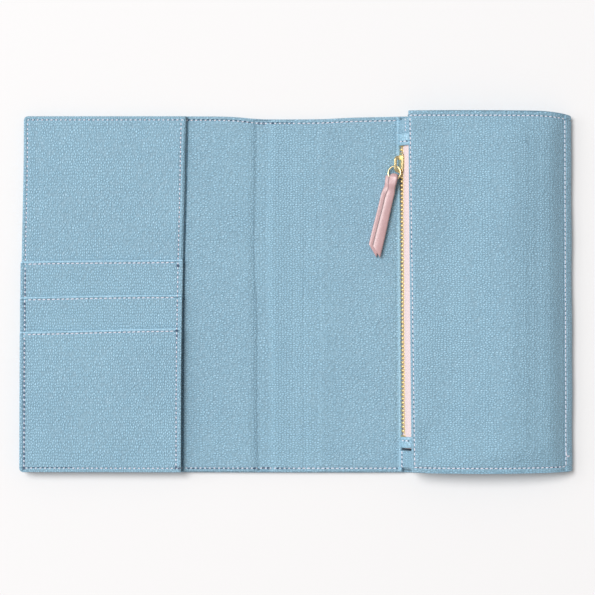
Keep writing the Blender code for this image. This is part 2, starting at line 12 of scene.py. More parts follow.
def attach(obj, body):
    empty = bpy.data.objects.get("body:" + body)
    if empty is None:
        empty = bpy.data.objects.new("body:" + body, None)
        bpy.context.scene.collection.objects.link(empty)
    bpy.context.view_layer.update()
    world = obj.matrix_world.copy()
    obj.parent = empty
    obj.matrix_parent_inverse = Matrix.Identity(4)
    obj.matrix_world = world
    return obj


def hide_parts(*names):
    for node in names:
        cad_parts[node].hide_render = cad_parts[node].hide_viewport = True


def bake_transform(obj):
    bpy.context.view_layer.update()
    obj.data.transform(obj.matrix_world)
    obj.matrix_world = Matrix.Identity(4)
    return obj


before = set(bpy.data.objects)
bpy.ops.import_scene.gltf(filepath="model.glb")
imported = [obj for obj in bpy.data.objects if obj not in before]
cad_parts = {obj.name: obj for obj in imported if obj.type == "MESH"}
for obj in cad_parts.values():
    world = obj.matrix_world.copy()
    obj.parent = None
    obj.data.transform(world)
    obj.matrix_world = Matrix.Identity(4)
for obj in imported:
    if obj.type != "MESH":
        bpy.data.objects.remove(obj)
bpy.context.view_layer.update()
MM = 0.001
STITCH = 1.86          # stitch pitch
STITCH_IN = 1.6        # seams run this far inside an edge
HALF_HIGH = 71.1       # half the height of the covers
HALF_WIDE = 110.0
RIGHT_END = 109.9
ZIP_DRIFT = 0.30       # sideways drift of the zip at 60 mm from its middle

CAMERA_DISTANCE = 0.85
CAMERA_WIDE = 0.238    # width of the view at the floor
CAMERA_LEAN = math.radians(1.5)
WORLD_LIGHT = 0.43
KEY_AT = (-2.30, 1.40, 4.80)
KEY_POWER = 248.0
SIDE_AT = (-7.20, 1.20, 4.20)
SIDE_POWER = 150.0
FLOOR_HALF = 3.0
FLOOR_Z = -0.0002


# ------------------------------------------------------------------ camera, light, floor
def stage_setup():
    scene = bpy.context.scene
    aim = Vector((0.0004, -0.0015, 0.0))
    cam = bpy.data.objects.new("camera", bpy.data.cameras.new("camera"))
    scene.collection.objects.link(cam)
    cam.location = aim + CAMERA_DISTANCE * Vector((0, -math.sin(CAMERA_LEAN), math.cos(CAMERA_LEAN)))
    cam.rotation_euler = (CAMERA_LEAN, 0, 0)
    cam.data.sensor_width = 36
    cam.data.lens = 36 * CAMERA_DISTANCE / CAMERA_WIDE
    cam.data.clip_start = 0.01
    cam.data.clip_end = 20
    scene.camera = cam
    scene.view_settings.view_transform = "Standard"
    scene.view_settings.look = "None"
    scene.view_settings.exposure = 0
    scene.view_settings.gamma = 1

    world = bpy.data.worlds.new("studio")
    world.use_nodes = True
    back = world.node_tree.nodes["Background"]
    back.inputs["Color"].default_value = (1.0, 0.975, 0.955, 1)
    back.inputs["Strength"].default_value = WORLD_LIGHT
    scene.world = world

    def area(name, where, size, power, colour=(1, 1, 1)):
        light = bpy.data.lights.new(name, "AREA")
        light.shape = "DISK"
        light.size = size
        light.energy = power
        light.color = colour
        ob = bpy.data.objects.new(name, light)
        ob.location = where
        ob.rotation_euler = (Vector((0, 0, 0)) - Vector(where)).to_track_quat("-Z", "Y").to_euler()
        scene.collection.objects.link(ob)

    area("key", KEY_AT, 3.0, KEY_POWER, (1.0, 1.0, 1.0))
    area("side", SIDE_AT, 4.0, SIDE_POWER, (1.0, 0.98, 0.97))

    mesh = bpy.data.meshes.new("floor")
    corners = [(x * FLOOR_HALF, y * FLOOR_HALF, FLOOR_Z) for x, y in ((-1, -1), (1, -1), (1, 1), (-1, 1))]
    mesh.from_pydata(corners, [], [(0, 1, 2, 3)])
    floor = bpy.data.objects.new("floor", mesh)
    scene.collection.objects.link(floor)
    mat = new_material("studio_floor")
    p = mat.node_tree.nodes["Principled BSDF"]
    p.inputs["Base Color"].default_value = (0.80, 0.795, 0.80, 1)
    p.inputs["Roughness"].default_value = 0.9
    p.inputs["Specular IOR Level"].default_value = 0.1
    mesh.materials.append(mat)


# ------------------------------------------------------------------ materials
def new_material(name):
    mat = bpy.data.materials.new(name)
    mat.use_nodes = True
    return mat


class Nodes:
    """A material with short calls for building its node tree; v is the place on the object in mm."""

    def __init__(self, name):
        self.mat = new_material(name)
        self.tree = self.mat.node_tree
        self.p = self.tree.nodes["Principled BSDF"]
        self.v = self.coords((1000.0,) * 3)

    def add(self, kind, vector=None, inputs=(), **values):
        node = self.tree.nodes.new(kind)
        for key, value in values.items():
            setattr(node, key, value)
        for key, value in dict(inputs).items():
            node.inputs[key].default_value = value
        if vector is not None:
            self.link(vector, node.inputs["Vector"])
        return node

    def link(self, a, b):
        self.tree.links.new(a, b)

    def coords(self, scale):
        place = self.add("ShaderNodeTexCoord").outputs["Object"]
        return self.add("ShaderNodeMapping", place, {"Scale": scale}).outputs["Vector"]

    def noise(self, vector, scale=1.0, detail=2.0, rough=0.5, out="Fac"):
        inputs = {"Scale": scale, "Detail": detail, "Roughness": rough}
        return self.add("ShaderNodeTexNoise", vector, inputs).outputs[out]

    def voronoi(self, vector, scale=1.0, feature="F1", random=1.0):
        inputs = {"Scale": scale, "Randomness": random}
        return self.add("ShaderNodeTexVoronoi", vector, inputs, feature=feature).outputs["Distance"]

    def wave(self, scale, distortion, direction):
        inputs = {"Scale": scale, "Distortion": distortion}
        node = self.add("ShaderNodeTexWave", self.v, inputs, wave_type="BANDS", bands_direction=direction)
        return node.outputs["Fac"]

    def vector_math(self, operation, *values):
        node = self.add("ShaderNodeVectorMath", operation=operation)
        for socket, value in zip(node.inputs, values):
            self.put(socket, value)
        return node.outputs[0]

    def put(self, socket, value):
        """A plain value or a link, whichever is given."""
        if isinstance(value, (int, float, tuple)):
            socket.default_value = value
        else:
            self.link(value, socket)

    def math(self, operation, a, b, clamp=False):
        node = self.add("ShaderNodeMath", operation=operation, use_clamp=clamp)
        self.put(node.inputs[0], a)
        self.put(node.inputs[1], b)
        return node.outputs[0]

    def times(self, a, b, clamp=False):
        return self.math("MULTIPLY", a, b, clamp)

    def blend(self, *terms):
        """The sum of maps, each times its weight."""
        total = None
        for value, weight in terms:
            part = self.times(value, weight)
            total = part if total is None else self.math("ADD", total, part)
        return total

    def ramp(self, value, *stops):
        node = self.add("ShaderNodeValToRGB")
        elements = node.color_ramp.elements
        while len(elements) < len(stops):
            elements.new(0.5)
        for element, (at, colour) in zip(elements, stops):
            element.position = at
            element.color = (*colour, 1)
        self.link(value, node.inputs["Fac"])
        return node.outputs["Color"]

    def mix(self, factor, a, b, blend="MIX"):
        node = self.add("ShaderNodeMix", data_type="RGBA", blend_type=blend)
        for socket, value in zip((node.inputs[0], node.inputs[6], node.inputs[7]), (factor, a, b)):
            self.put(socket, (*value, 1) if isinstance(value, tuple) else value)
        return node.outputs[2]

    def marked(self, tone, mark, colour):
        """Another colour where the mesh carries a mark."""
        value = self.add("ShaderNodeAttribute", attribute_name=mark).outputs["Fac"]
        return self.mix(self.times(value, 1.0, clamp=True), tone, colour)

    def bump(self, height, distance, strength=1.0, after=None):
        node = self.add("ShaderNodeBump", inputs={"Strength": strength, "Distance": distance * MM})
        self.link(height, node.inputs["Height"])
        if after is not None:
            self.link(after, node.inputs["Normal"])
        return node.outputs["Normal"]

    def finish(self, tone, normal, rough, *gloss, **inputs):
        """Join the colour, the normal and a roughness that varies with the given weighted maps."""
        self.link(tone, self.p.inputs["Base Color"])
        self.link(normal, self.p.inputs["Normal"])
        self.link(self.math("ADD", self.blend(*gloss), rough), self.p.inputs["Roughness"])
        for key, value in inputs.items():
            name = {"specular": "Specular IOR Level"}.get(key, key.replace("_", " ").title())
            self.p.inputs[name].default_value = value
        return self.mat


def tint(colour, factor, lift=0.0):
    return tuple(min(1, c * factor + lift) for c in colour)


def grained_leather(name, colour, grain=(1.0, 0.68, 1.0), cell=0.74, depth=0.40, rough=0.36):
    """Pebbled leather: long soft pebbles with creases between, fine pores and cloudy dye."""
    n = Nodes(name)
    wobble = n.noise(n.v, 0.35, 2.0, out="Color")
    warped = n.vector_math("MULTIPLY_ADD", wobble, (0.6, 0.6, 0.6), n.v)
    warped = n.vector_math("MULTIPLY", warped, grain)
    pebble = n.voronoi(warped, 1.0 / cell, "F1", 0.7)
    edges = n.voronoi(warped, 1.0 / cell, "DISTANCE_TO_EDGE", 0.7)
    fine = n.noise(n.v, 4.2, 3.0, 0.6)
    cloud = n.noise(n.v, 0.05, 3.0, 0.55)
    dome = n.math("SUBTRACT", 1.0, pebble)
    groove = n.times(edges, 3.4, clamp=True)
    crease = n.noise(warped, 1.45 / cell, 1.0, 0.45)
    crease = n.times(n.math("SUBTRACT", crease, 0.37), 4.0, clamp=True)
    height = n.blend((dome, 0.40), (groove, 0.36), (crease, 0.10), (fine, 0.16))
    tone = n.ramp(height, (0.22, tint(colour, 0.70)), (0.62, colour), (0.86, tint(colour, 1.22)))
    clouds = n.ramp(cloud, (0.3, (0.965, 0.97, 0.975)), (0.7, (1.03, 1.025, 1.02)))
    tone = n.mix(1.0, tone, clouds, "MULTIPLY")
    # paler where edges are rubbed, plus a painted highlight where rolled edges face the light
    tone = n.marked(tone, "wear_and_highlight", tint(colour, 1.45, 0.05))
    # painted shade: near black along an edge over a shaded gap
    tone = n.marked(tone, "painted_shade", tint(colour, 0.12))
    return n.finish(tone, n.bump(height, depth), rough, (fine, 0.16), (groove, -0.08),
                    specular=0.5, sheen_weight=0.01, sheen_roughness=0.5)


def smooth_leather(name, colour):
    """Smooth coated leather with very fine pores, long soft wrinkles and painted shade along its edges."""
    n = Nodes(name)
    pores = n.voronoi(n.v, 2.2)
    fine = n.noise(n.v, 7.0, 3.0, 0.6)
    wrinkle = n.noise(n.v, 0.5, 3.0, 0.6)
    height = n.blend((pores, 0.5), (fine, 0.5))
    normal = n.bump(wrinkle, 0.25, 0.35, n.bump(height, 0.055))
    tone = n.ramp(wrinkle, (0.25, tint(colour, 0.9)), (0.75, tint(colour, 1.06)))
    speck = n.ramp(height, (0.2, (0.94, 0.93, 0.93)), (0.8, (1.03, 1.03, 1.03)))
    # painted shade darkens the strap's edges
    tone = n.marked(n.mix(1.0, tone, speck, "MULTIPLY"), "painted_shade", tint(colour, 0.34))
    return n.finish(tone, normal, 0.28, (fine, 0.14), specular=0.6, coat_weight=0.35, coat_roughness=0.25)


def thread_material(name, colour):
    """Twisted polyester thread: fibres show as fine streaks."""
    n = Nodes(name)
    fibre = n.noise(n.v, 9.0, 2.0, 0.6)
    tone = n.ramp(fibre, (0.3, tint(colour, 0.82)), (0.65, colour))
    return n.finish(tone, n.bump(fibre, 0.03, 0.8), 0.5, (fibre, 0.15), sheen_weight=0.25)


def woven_tape(name, colour):
    """Herringbone zip tape: slanted ribs crossed by fine weft."""
    n = Nodes(name)
    fuzz = n.noise(n.v, 6.0, 3.0, 0.6)
    weave = n.times(n.wave(0.50, 0.6, "DIAGONAL"), n.wave(0.55, 0.4, "Y"))
    height = n.math("ADD", weave, n.times(fuzz, 0.5))
    tone = n.ramp(height, (0.1, tint(colour, 0.74)), (0.9, tint(colour, 1.04)))
    return n.finish(tone, n.bump(height, 0.14), 0.75, (fuzz, 0.1), sheen_weight=0.3)


def plated_metal(name, colour, rough):
    """Polished pale gold plate with faint buffing marks and handling haze."""
    n = Nodes(name)
    haze = n.noise(n.v, 0.8, 3.0, 0.6)
    scratch = n.noise(n.coords((9000.0, 700.0, 2500.0)))
    tone = n.ramp(haze, (0.3, tint(colour, 0.93)), (0.7, colour))
    return n.finish(tone, n.bump(scratch, 0.002, 0.3), rough, (haze, 0.10), (scratch, 0.08), metallic=1.0)


def plain_cloth(name, colour):
    """Plain weave lining cloth."""
    n = Nodes(name)
    weave = n.times(n.wave(0.7, 0.5, "X"), n.wave(0.7, 0.5, "Y"))
    tone = n.ramp(weave, (0.0, tint(colour, 0.7)), (1.0, colour))
    return n.finish(tone, n.bump(weave, 0.05), 0.82, (weave, 0.08))


def pressed_card(name, colour):
    """Grey board with flecks and a rough cut edge."""
    n = Nodes(name)
    fleck = n.noise(n.v, 1.4, 5.0, 0.7)
    tone = n.ramp(fleck, (0.35, tint(colour, 0.75)), (0.6, colour))
    return n.finish(tone, n.bump(fleck, 0.05, 0.8), 0.85, (fleck, 0.1))


BLUE = (0.284, 0.486, 0.624)
LEATHER = grained_leather("blue_leather_grain", BLUE, (0.68, 1.0, 1.0))
LEATHER_LEFT = grained_leather("blue_leather_long_grain", BLUE)
LEATHER_FOLD = grained_leather("blue_leather_folded_edge", tint(BLUE, 1.05), depth=0.12)
# painted shade: near-black leather for the needle holes, which lie in shade
HOLE_SHADE = grained_leather("needle_hole_painted_shade", (0.050, 0.090, 0.160), depth=0.05)
THREAD = thread_material("lilac_thread", (0.80, 0.785, 0.875))
TAPE = woven_tape("pink_zip_tape", (0.90, 0.730, 0.735))
GOLD = plated_metal("gold_plate", (0.90, 0.74, 0.42), 0.20)
TEETH_GOLD = plated_metal("gold_teeth_plate", (0.90, 0.72, 0.36), 0.42)
PINK = smooth_leather("pink_strap_leather", (0.545, 0.345, 0.352))
CLOTH = plain_cloth("pocket_cloth", (0.13, 0.18, 0.24))
CARD = pressed_card("grey_board", (0.52, 0.46, 0.38))


# ------------------------------------------------------------------ mesh helpers
def make_mesh(name, points, faces, mat, smooth=True):
    mesh = bpy.data.meshes.new(name)
    points = np.asarray(points, float) * MM
    mesh.from_pydata(points.tolist(), [], [tuple(int(i) for i in f) for f in faces])
    mesh.polygons.foreach_set("use_smooth", [smooth] * len(mesh.polygons))
    mesh.materials.append(mat)
    ob = bpy.data.objects.new(name, mesh)
    bpy.context.scene.collection.objects.link(ob)
    return ob


def add_mark(ob, name, values):
    """A value at each point that the leather materials read: one mark makes edges paler, from rubbing and a
    painted highlight; another darkens edges with painted shade.
    """
    ob.data.attributes.new(name, "FLOAT", "POINT").data.foreach_set("value", np.asarray(values, np.float32))


def belong(ob, body, slot, *nodes):
    """Ride on a body and stand for the CAD's nodes; the slot argument is not used."""
    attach(ob, body)
    if nodes:
        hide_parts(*nodes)


def tube_faces(rows, around, closed=False):
    """Faces of a tube whose points come in rows of `around`, joined in a circle or capped."""
    faces = []
    for i in range(rows if closed else rows - 1):
        a, b = i * around, (i + 1) % rows * around
        for k in range(around):
            j = (k + 1) % around
            faces.append((a + k, b + k, b + j, a + j))
    if not closed:
        faces.append(tuple(range(around)))
        faces.append(tuple(reversed(range((rows - 1) * around, rows * around))))
    return faces


def bell(d, centre, width):
    return np.exp(-((d - centre) / width) ** 2)


def ease(t):
    t = np.clip(t, 0, 1)
    return t * t * (3 - 2 * t)


def ripple(x, y, size, seed, count=7):
    """Smooth random waves between about -1 and 1, with bumps about `size` across."""
    rng = np.random.default_rng(seed)
    total = np.zeros_like(x, dtype=float)
    for _ in range(count):
        a = rng.uniform(0, 2 * math.pi)
        k = 2 * math.pi / (size * rng.uniform(0.8, 2.2))
        total += np.sin(k * (x * math.cos(a) + y * math.sin(a)) + rng.uniform(0, 2 * math.pi))
    return total / math.sqrt(count * 2)


FINE = (0.0, 0.04, 0.10, 0.19, 0.30, 0.43, 0.58, 0.75, 0.95, 1.15,
        1.32, 1.48, 1.62, 1.78, 1.95, 2.2, 2.55, 3.0, 3.6)


def spaced(length, step, more=()):
    """Positions along a side: close together at both ends, and round any extra places."""
    edge = [d for d in FINE if d < length / 2]
    middle = np.linspace(edge[-1], length - edge[-1], max(3, int((length - 2 * edge[-1]) / step) + 2))[1:-1]
    values = edge + [length - d for d in edge] + list(middle)
    for at in more:
        values += [at + d for d in (-1.2, -0.8, -0.5, -0.3, -0.15, 0, 0.15, 0.3, 0.5, 0.8, 1.2)]
    values = sorted(v for v in values if 0 <= v <= length)
    kept = [values[0]]
    for v in values[1:]:
        if v - kept[-1] > 0.035:
            kept.append(v)
    kept[-1] = length
    return np.array(kept)


def panel(name, width, length, thick, place, mat, top=None, low=None, corners=(0, 0, 0, 0),
          step=1.0, step_y=None, more_x=(), open_side="", marks=None):
    """A sheet of leather or cloth with rounded edges.

    place(a, b, h) puts a point of the flat sheet, at height h over its underside, in the holder.
    top and low give how far each face stands out, from the distances to the four edges. marks are
    values for the leather, by rules that take the same distances. A panel has no wall on its open_side.
    """
    xs = spaced(width, step, more_x)
    ys = spaced(length, step_y or step)
    a, b = np.meshgrid(xs, ys, indexing="ij")
    nx, ny = a.shape
    sides = {"l": a, "r": width - a, "b": b, "t": length - b}
    rolled = [d for key, d in sides.items() if key != open_side]
    r = thick / 2
    nearest = np.minimum.reduce(rolled)
    drop = np.zeros_like(a)
    for d in rolled:
        t = np.clip(d / r, 0, 1)
        drop = np.maximum(drop, thick / 2 * (1 - np.sqrt(1 - (1 - t) ** 2)))
    fade = ease(nearest / 0.5)
    up = top(a, b, sides) if top else 0.0
    down = low(a, b, sides) if low else 0.0
    high = thick - drop + up * fade
    under = drop + down * fade
    # the corners are rounded in the plane of the sheet
    fa, fb = a.copy(), b.copy()
    for (ca, cb), rc in zip(((0, 0), (1, 0), (1, 1), (0, 1)), corners):
        if rc <= 0:
            continue
        ox = rc if ca == 0 else width - rc
        oy = rc if cb == 0 else length - rc
        p = (a - ox) / rc * (-1 if ca == 0 else 1)
        q = (b - oy) / rc * (-1 if cb == 0 else 1)
        inside = (p > 0) & (q > 0)
        pp = p * np.sqrt(np.clip(1 - q * q / 2, 0, 1))
        qq = q * np.sqrt(np.clip(1 - p * p / 2, 0, 1))
        fa = np.where(inside, ox + pp * rc * (-1 if ca == 0 else 1), fa)
        fb = np.where(inside, oy + qq * rc * (-1 if cb == 0 else 1), fb)
    upper = place(fa, fb, high).reshape(-1, 3)
    lower = place(fa, fb, under).reshape(-1, 3)
    index = np.arange(nx * ny).reshape(nx, ny)
    edge = np.zeros((nx, ny), bool)
    edge[0, :] = edge[-1, :] = edge[:, 0] = edge[:, -1] = True
    row = {"l": 0, "r": -1}.get(open_side)
    if open_side:
        edge[row, 1:-1] = False
    second = np.where(edge, index, -1)
    inner = ~edge
    second[inner] = nx * ny + np.arange(inner.sum())
    points = np.vstack([upper, lower.reshape(nx, ny, 3)[inner]])
    mid = (upper + lower) / 2
    points[index[edge]] = mid[index[edge]]
    faces = np.stack([index[:-1, :-1], index[1:, :-1], index[1:, 1:], index[:-1, 1:]], -1).reshape(-1, 4)
    back = np.stack([second[:-1, :-1], second[:-1, 1:], second[1:, 1:], second[1:, :-1]], -1).reshape(-1, 4)
    faces = list(map(tuple, np.vstack([faces, back])))
    if open_side:
        for j in range(ny - 1):
            wall = [index[row, j], second[row, j], second[row, j + 1], index[row, j + 1]]
            faces.append(tuple(dict.fromkeys(wall[::-1] if open_side == "l" else wall)))
    ob = make_mesh(name, points, faces, mat)
    for mark, rule in (marks or {}).items():
        values = np.broadcast_to(rule(sides), a.shape)
        add_mark(ob, mark, np.concatenate([values.reshape(-1), 0.0 * values[inner]]))
    if open_side:
        ob.data.set_sharp_from_angle(angle=math.radians(60))
    return ob


def tree_of(*objects):
    """A search tree over the given meshes, in millimetres."""
    points, faces = [], []
    for ob in objects:
        start = len(points)
        points += [v.co / MM for v in ob.data.vertices]
        faces += [[start + i for i in p.vertices] for p in ob.data.polygons]
    return BVHTree.FromPolygons(points, faces)


def resample(path, pitch):
    """Points every `pitch` along a path, with the leftover shared out, and their directions."""
    path = np.asarray(path, float)
    seg = np.linalg.norm(np.diff(path, axis=0), axis=1)
    at = np.concatenate([[0], np.cumsum(seg)])
    count = max(1, int(round(at[-1] / pitch)))
    s = (np.arange(count) + 0.5) * at[-1] / count
    out = np.stack([np.interp(s, at, path[:, k]) for k in range(path.shape[1])], 1)
    ahead = np.stack([np.interp(s + 0.05, at, path[:, k]) for k in range(path.shape[1])], 1)
    behind = np.stack([np.interp(s - 0.05, at, path[:, k]) for k in range(path.shape[1])], 1)
    way = ahead - behind
    way /= np.linalg.norm(way, axis=1)[:, None] + 1e-12
    return out, way, at[-1] / count


def stitch_shape(long, radius, rise):
    """One stitch: two plies twisted together, arching out of its needle holes."""
    around, along = 9, 9
    points = []
    for i in range(along):
        t = i / (along - 1)
        x = (t - 0.5) * long
        arch = math.sin(math.pi * t)
        z = rise * arch ** 0.6 - radius * 0.75
        r = radius * (0.55 + 0.45 * arch ** 0.5)
        for k in range(around):
            th = 2 * math.pi * k / around
            ply = 1 + 0.13 * math.cos(2 * th + 8.5 * t)
            points.append((x, r * ply * math.cos(th), z + r * ply * math.sin(th)))
    return np.array(points), tube_faces(along, around)


def hole_shape(radius):
    """A needle hole: a small puckered dish, coloured near black as painted shade."""
    around = 10
    points = [(0, 0, -0.05)]
    faces = []
    for ring, (r, z) in enumerate(((0.5, 0.0), (0.8, 0.03), (1.0, 0.015))):
        for k in range(around):
            th = 2 * math.pi * k / around
            points.append((r * radius * math.cos(th), 0.8 * r * radius * math.sin(th), z))
    for k in range(around):
        j = (k + 1) % around
        faces.append((0, 1 + k, 1 + j))
        for ring in range(2):
            s = 1 + ring * around
            faces.append((s + k, s + around + k, s + around + j, s + j))
    return np.array(points), faces


def scatter(name, shape, frames, mat):
    """Copies of a shape at frames (origin, x axis, y axis, z axis), joined into one mesh."""
    base, faces = shape
    points, out = [], []
    for o, x, y, z in frames:
        start = len(points)
        points.extend(np.asarray(o) + base @ np.array([x, y, z]))
        out.extend(tuple(start + i for i in f) for f in faces)
    return make_mesh(name, points, out, mat)


def follow(ob, body, fold):
    """Move with a cover, or, where a piece crosses the cover's fold, stay unattached with its placement baked
    into the mesh.
    """
    if fold:
        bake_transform(ob)
    else:
        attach(ob, body)


def sew(name, body, nodes, tree, paths, seed, down=(0, 0, -1), reach=8.0, slant=5.0, pitch=STITCH,
        long=1.42, radius=0.24, rise=0.15, holes=True, hole=0.40, fold=0):
    """Stitches along paths, laid on whatever surface lies under them.

    fold is -1 or 1 for a row that starts on the spine and crosses the left or right fold.
    """
    rng = np.random.default_rng(seed)
    down = Vector(down)
    frames, hole_frames = [], []
    for path in paths:
        spots, ways, real = resample(path, pitch)
        for (spot, way) in zip(spots, ways):
            start = Vector(spot) - down * reach
            hit, normal, _, _ = tree.ray_cast(start, down, reach * 2)
            if hit is None:
                continue
            if normal.dot(down) > 0:
                normal = -normal
            z = np.array(normal)
            turn = math.radians(slant + rng.normal(0, 2.2))
            x = np.array(way) - z * np.dot(way, z)
            x /= np.linalg.norm(x)
            y = np.cross(z, x)
            xs = x * math.cos(turn) + y * math.sin(turn)
            ys = np.cross(z, xs)
            size = 1 + rng.normal(0, 0.03)
            lift = np.array(hit) + z * rng.normal(0.0, 0.015)
            frames.append((lift, xs * size, ys, z))
            hole_frames.append((np.array(hit) + z * 0.02 + x * real / 2, x, y, z))
    ob = scatter(name, stitch_shape(long, radius, rise), frames, THREAD)
    follow(ob, body, fold)
    if nodes:
        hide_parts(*nodes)
    if holes:
        # the hole dishes carry painted shade
        dark = scatter(name + "_hole_shade", hole_shape(hole), hole_frames, HOLE_SHADE)
        follow(dark, body, fold)
    return ob


# ------------------------------------------------------------------ outline of the open holder
TOP_X = [-110, -40, -30, -24, -20, -17, -14, -6, 6, 12, 16, 20, 27, 36, 44, 110]
TOP_Y = [71.1, 71.1, 71.05, 70.8, 70.4, 70.05, 69.9, 69.85, 69.9, 70.0, 70.25, 70.5, 70.7, 70.85, 71.05, 71.1]


def top_edge(x):
    fine = np.linspace(-112, 112, 225)
    y = np.interp(fine, TOP_X, TOP_Y)
    kernel = bell(np.arange(-6, 7), 0, 3.0)
    y = np.convolve(np.pad(y, 6, mode="edge"), kernel / kernel.sum(), mode="valid")
    return np.interp(x, fine, y)


def low_edge(x):
    return -71.25 - 0.12 * np.sin((np.asarray(x) + 40) / 34.0)


def left_edge(y):
    return -HALF_WIDE + 0.75 * ease((np.asarray(y) - 2.0) / 60.0)


def hem(d, rim=0.10, trough=0.24):
    """The puffed edge, the pulled-in stitch line and the swell inside it."""
    return rim * bell(d, 0.75, 0.5) - trough * bell(d, STITCH_IN, 0.34) + 0.07 * bell(d, 2.7, 0.8)


# ------------------------------------------------------------------ outer cover and lining
def spine_relief(x, y):
    """Height of the lining over the soft spine, relative to the covers."""
    x0 = x + 0.7 * np.sin(y / 38.0 + 0.6) + 0.25 * np.sin(y / 11.0)
    z = -1.20 * ease((x0 + 18.6) / 4.8) + 0.87 * ease((x0 + 14.0) / 6.0) + 0.33 * ease((x0 + 4.0) / 18.0)
    z += 0.10 * bell(x0, -8.2, 2.2)
    low_half = 1 - ease((y - 10) / 30)
    z -= 0.12 * bell(x, 3.2 + 0.45 * np.sin(y / 15.0), 0.8) * (0.15 + 0.85 * low_half)
    z += 0.08 * bell(x, 1.4, 1.6)
    z -= 0.15 * bell(x, 8.8 + 0.4 * np.sin(y / 21.0 + 1), 0.8) * (0.35 + 0.65 * np.sin(y / 13.0 + 2) ** 2)
    z += 0.10 * bell(x, 10.6, 2.0)
    slope = (x - 2.2) - (y - 64.5) * 0.62
    z -= 0.16 * bell(slope, 0, 0.5) * bell(y, 64.5, 3.0)
    return z


LINING_LEFT = -109.6
LINING_RIGHT = 41.95


def zip_drift(y):
    """The sewn zip isn't quite straight: it runs nearer the spine at the top."""
    return -ZIP_DRIFT * np.asarray(y) / 60.0


def skin(name, x0, x1, z0, thick, inset, top=None, low=None, corners=(0, 0, 0, 0), more=(), marks=None):
    """One half of a sheet that runs over a cover and half the spine."""
    width = x1 - x0
    length = 2 * HALF_HIGH

    def place(a, b, h):
        x = x0 + a
        high = top_edge(x) - inset
        bottom = low_edge(x) + inset
        y = bottom + (high - bottom) * b / length
        if x0 < -50:
            x = x + (left_edge(y) + inset - x0) * (1 - a / width)
        if x1 == LINING_RIGHT:
            x = x + zip_drift(y) * (a / width) ** 6
        return np.stack([x, y, z0 + h], -1)

    side = "r" if x0 < -50 else ("l" if x0 == 0 else "")
    return panel(name, width, length, thick, place, LEATHER, top, low, corners, step=1.25, more_x=more,
                 open_side=side, marks=marks)


def outer_low(half):
    def low(a, b, s):
        outside = s["l"] if half < 0 else s["r"]
        d = np.minimum(np.minimum(s["b"], s["t"]), outside)
        return 0.22 * bell(d, STITCH_IN, 0.42)
    return low


cover = {}
for half in (-1, 1):
    x0, x1 = (-HALF_WIDE, 0.0) if half < 0 else (0.0, RIGHT_END)
    round_at = (1.8, 0, 0, 1.8) if half < 0 else (0, 1.8, 1.8, 0)
    side = "left" if half < 0 else "right"
    cover[side] = skin("outer_skin_" + side, x0, x1, 0.0, 1.0, 0.0, low=outer_low(half), corners=round_at)


def mouth_x(y):
    """The sleeve's open edge: further in at the top, with a slight wave."""
    y = np.asarray(y, float)
    return np.interp(y, [-71, 13, 71], [-45.8, -45.15, -43.8]) + 0.12 * np.sin(y / 17.0)


def lining_relief(x, b, s):
    """Hems, the soft spine and a slight unevenness."""
    y = b - HALF_HIGH
    return hem(np.minimum(s["b"], s["t"])) + spine_relief(x, y) + 0.07 * ripple(x, y, 26, 3)


def lining_top_left(a, b, s):
    x = LINING_LEFT + a
    return lining_relief(x, b, s) - 0.62 * bell(x - mouth_x(b - HALF_HIGH), 0.25, 0.28)


def lining_top_right(a, b, s):
    return lining_relief(a, b, s) + 0.16 * bell(s["r"], 1.0, 0.45) - 0.10 * bell(s["r"], 2.0, 0.5)


lining_left = skin("inner_skin_left", LINING_LEFT, 0.0, 1.7, 0.8, 0.35, lining_top_left,
                   corners=(1.6, 0, 0, 1.6), more=(63.8, 64.8, 65.8, 94.0, 101.0))
# painted highlight along the lining's rolled right edge beside the zip
lining_right = skin("inner_skin_right", 0.0, LINING_RIGHT, 1.7, 0.8, 0.35, lining_top_right,
                    more=(3.2, 8.8), marks={"wear_and_highlight": lambda s: 0.60 * bell(s["r"], 1.0, 0.35)})


# ------------------------------------------------------------------ passport sleeve and card slots
SLEEVE_Z = 2.6
SLEEVE_THICK = 1.2


def flat_panel(name, z0, thick, x_left, y_low, y_high, top, low=None, corners=(0, 0, 0, 0), marks=None):
    """A flat panel on the left cover; y_high(x) is its top edge."""
    width = -44.8 - x_left
    length = float(np.mean(y_high(np.array([-109.0, -46.0])))) - y_low

    def place(a, b, h):
        f = a / width
        x = x_left + a
        y = y_low + (y_high(x) - y_low) * b / length
        y = y + (low_edge(x) - low_edge(-80)) * (1 - b / length)
        x = (x_left + (left_edge(y) + HALF_WIDE)) * (1 - f) + mouth_x(y) * f
        return np.stack([x, y, z0 + h], -1)

    return panel(name, width, length, thick, place, LEATHER_LEFT, top, low, corners, step=1.1, marks=marks)


def sleeve_top(a, b, s):
    y = b - 70.9
    x = a - 109.4
    sewn = np.minimum(np.minimum(s["b"], s["t"]), s["l"])
    z = hem(sewn)
    mouth = s["r"]
    z = z - 0.38 * bell(mouth, 0.0, 0.9) + 0.22 * bell(mouth, 1.0, 0.5)
    z = z - 0.16 * bell(mouth, 2.1, 0.36) + 0.08 * bell(mouth, 3.2, 0.9)
    belly = ease(sewn / 14.0)
    z = z + 0.30 * belly * ease((y - 8) / 22)
    z = z + 0.12 * ripple(x, y, 30, 11) * belly
    z = z + 0.10 * bell(mouth, 0.0, 5.0) * belly
    return z


def sleeve_low(a, b, s):
    sewn = np.minimum(np.minimum(s["b"], s["t"]), s["l"])
    return 0.52 * ease((sewn - 2.6) / 1.6)


def slot_edge_wear_and_highlight(s):
    """Cards rub the top edge of a slot paler, and a painted highlight where the rolled edge faces the light
    makes it almost white.
    """
    return 0.85 * bell(s["t"], 0.42, 0.28)


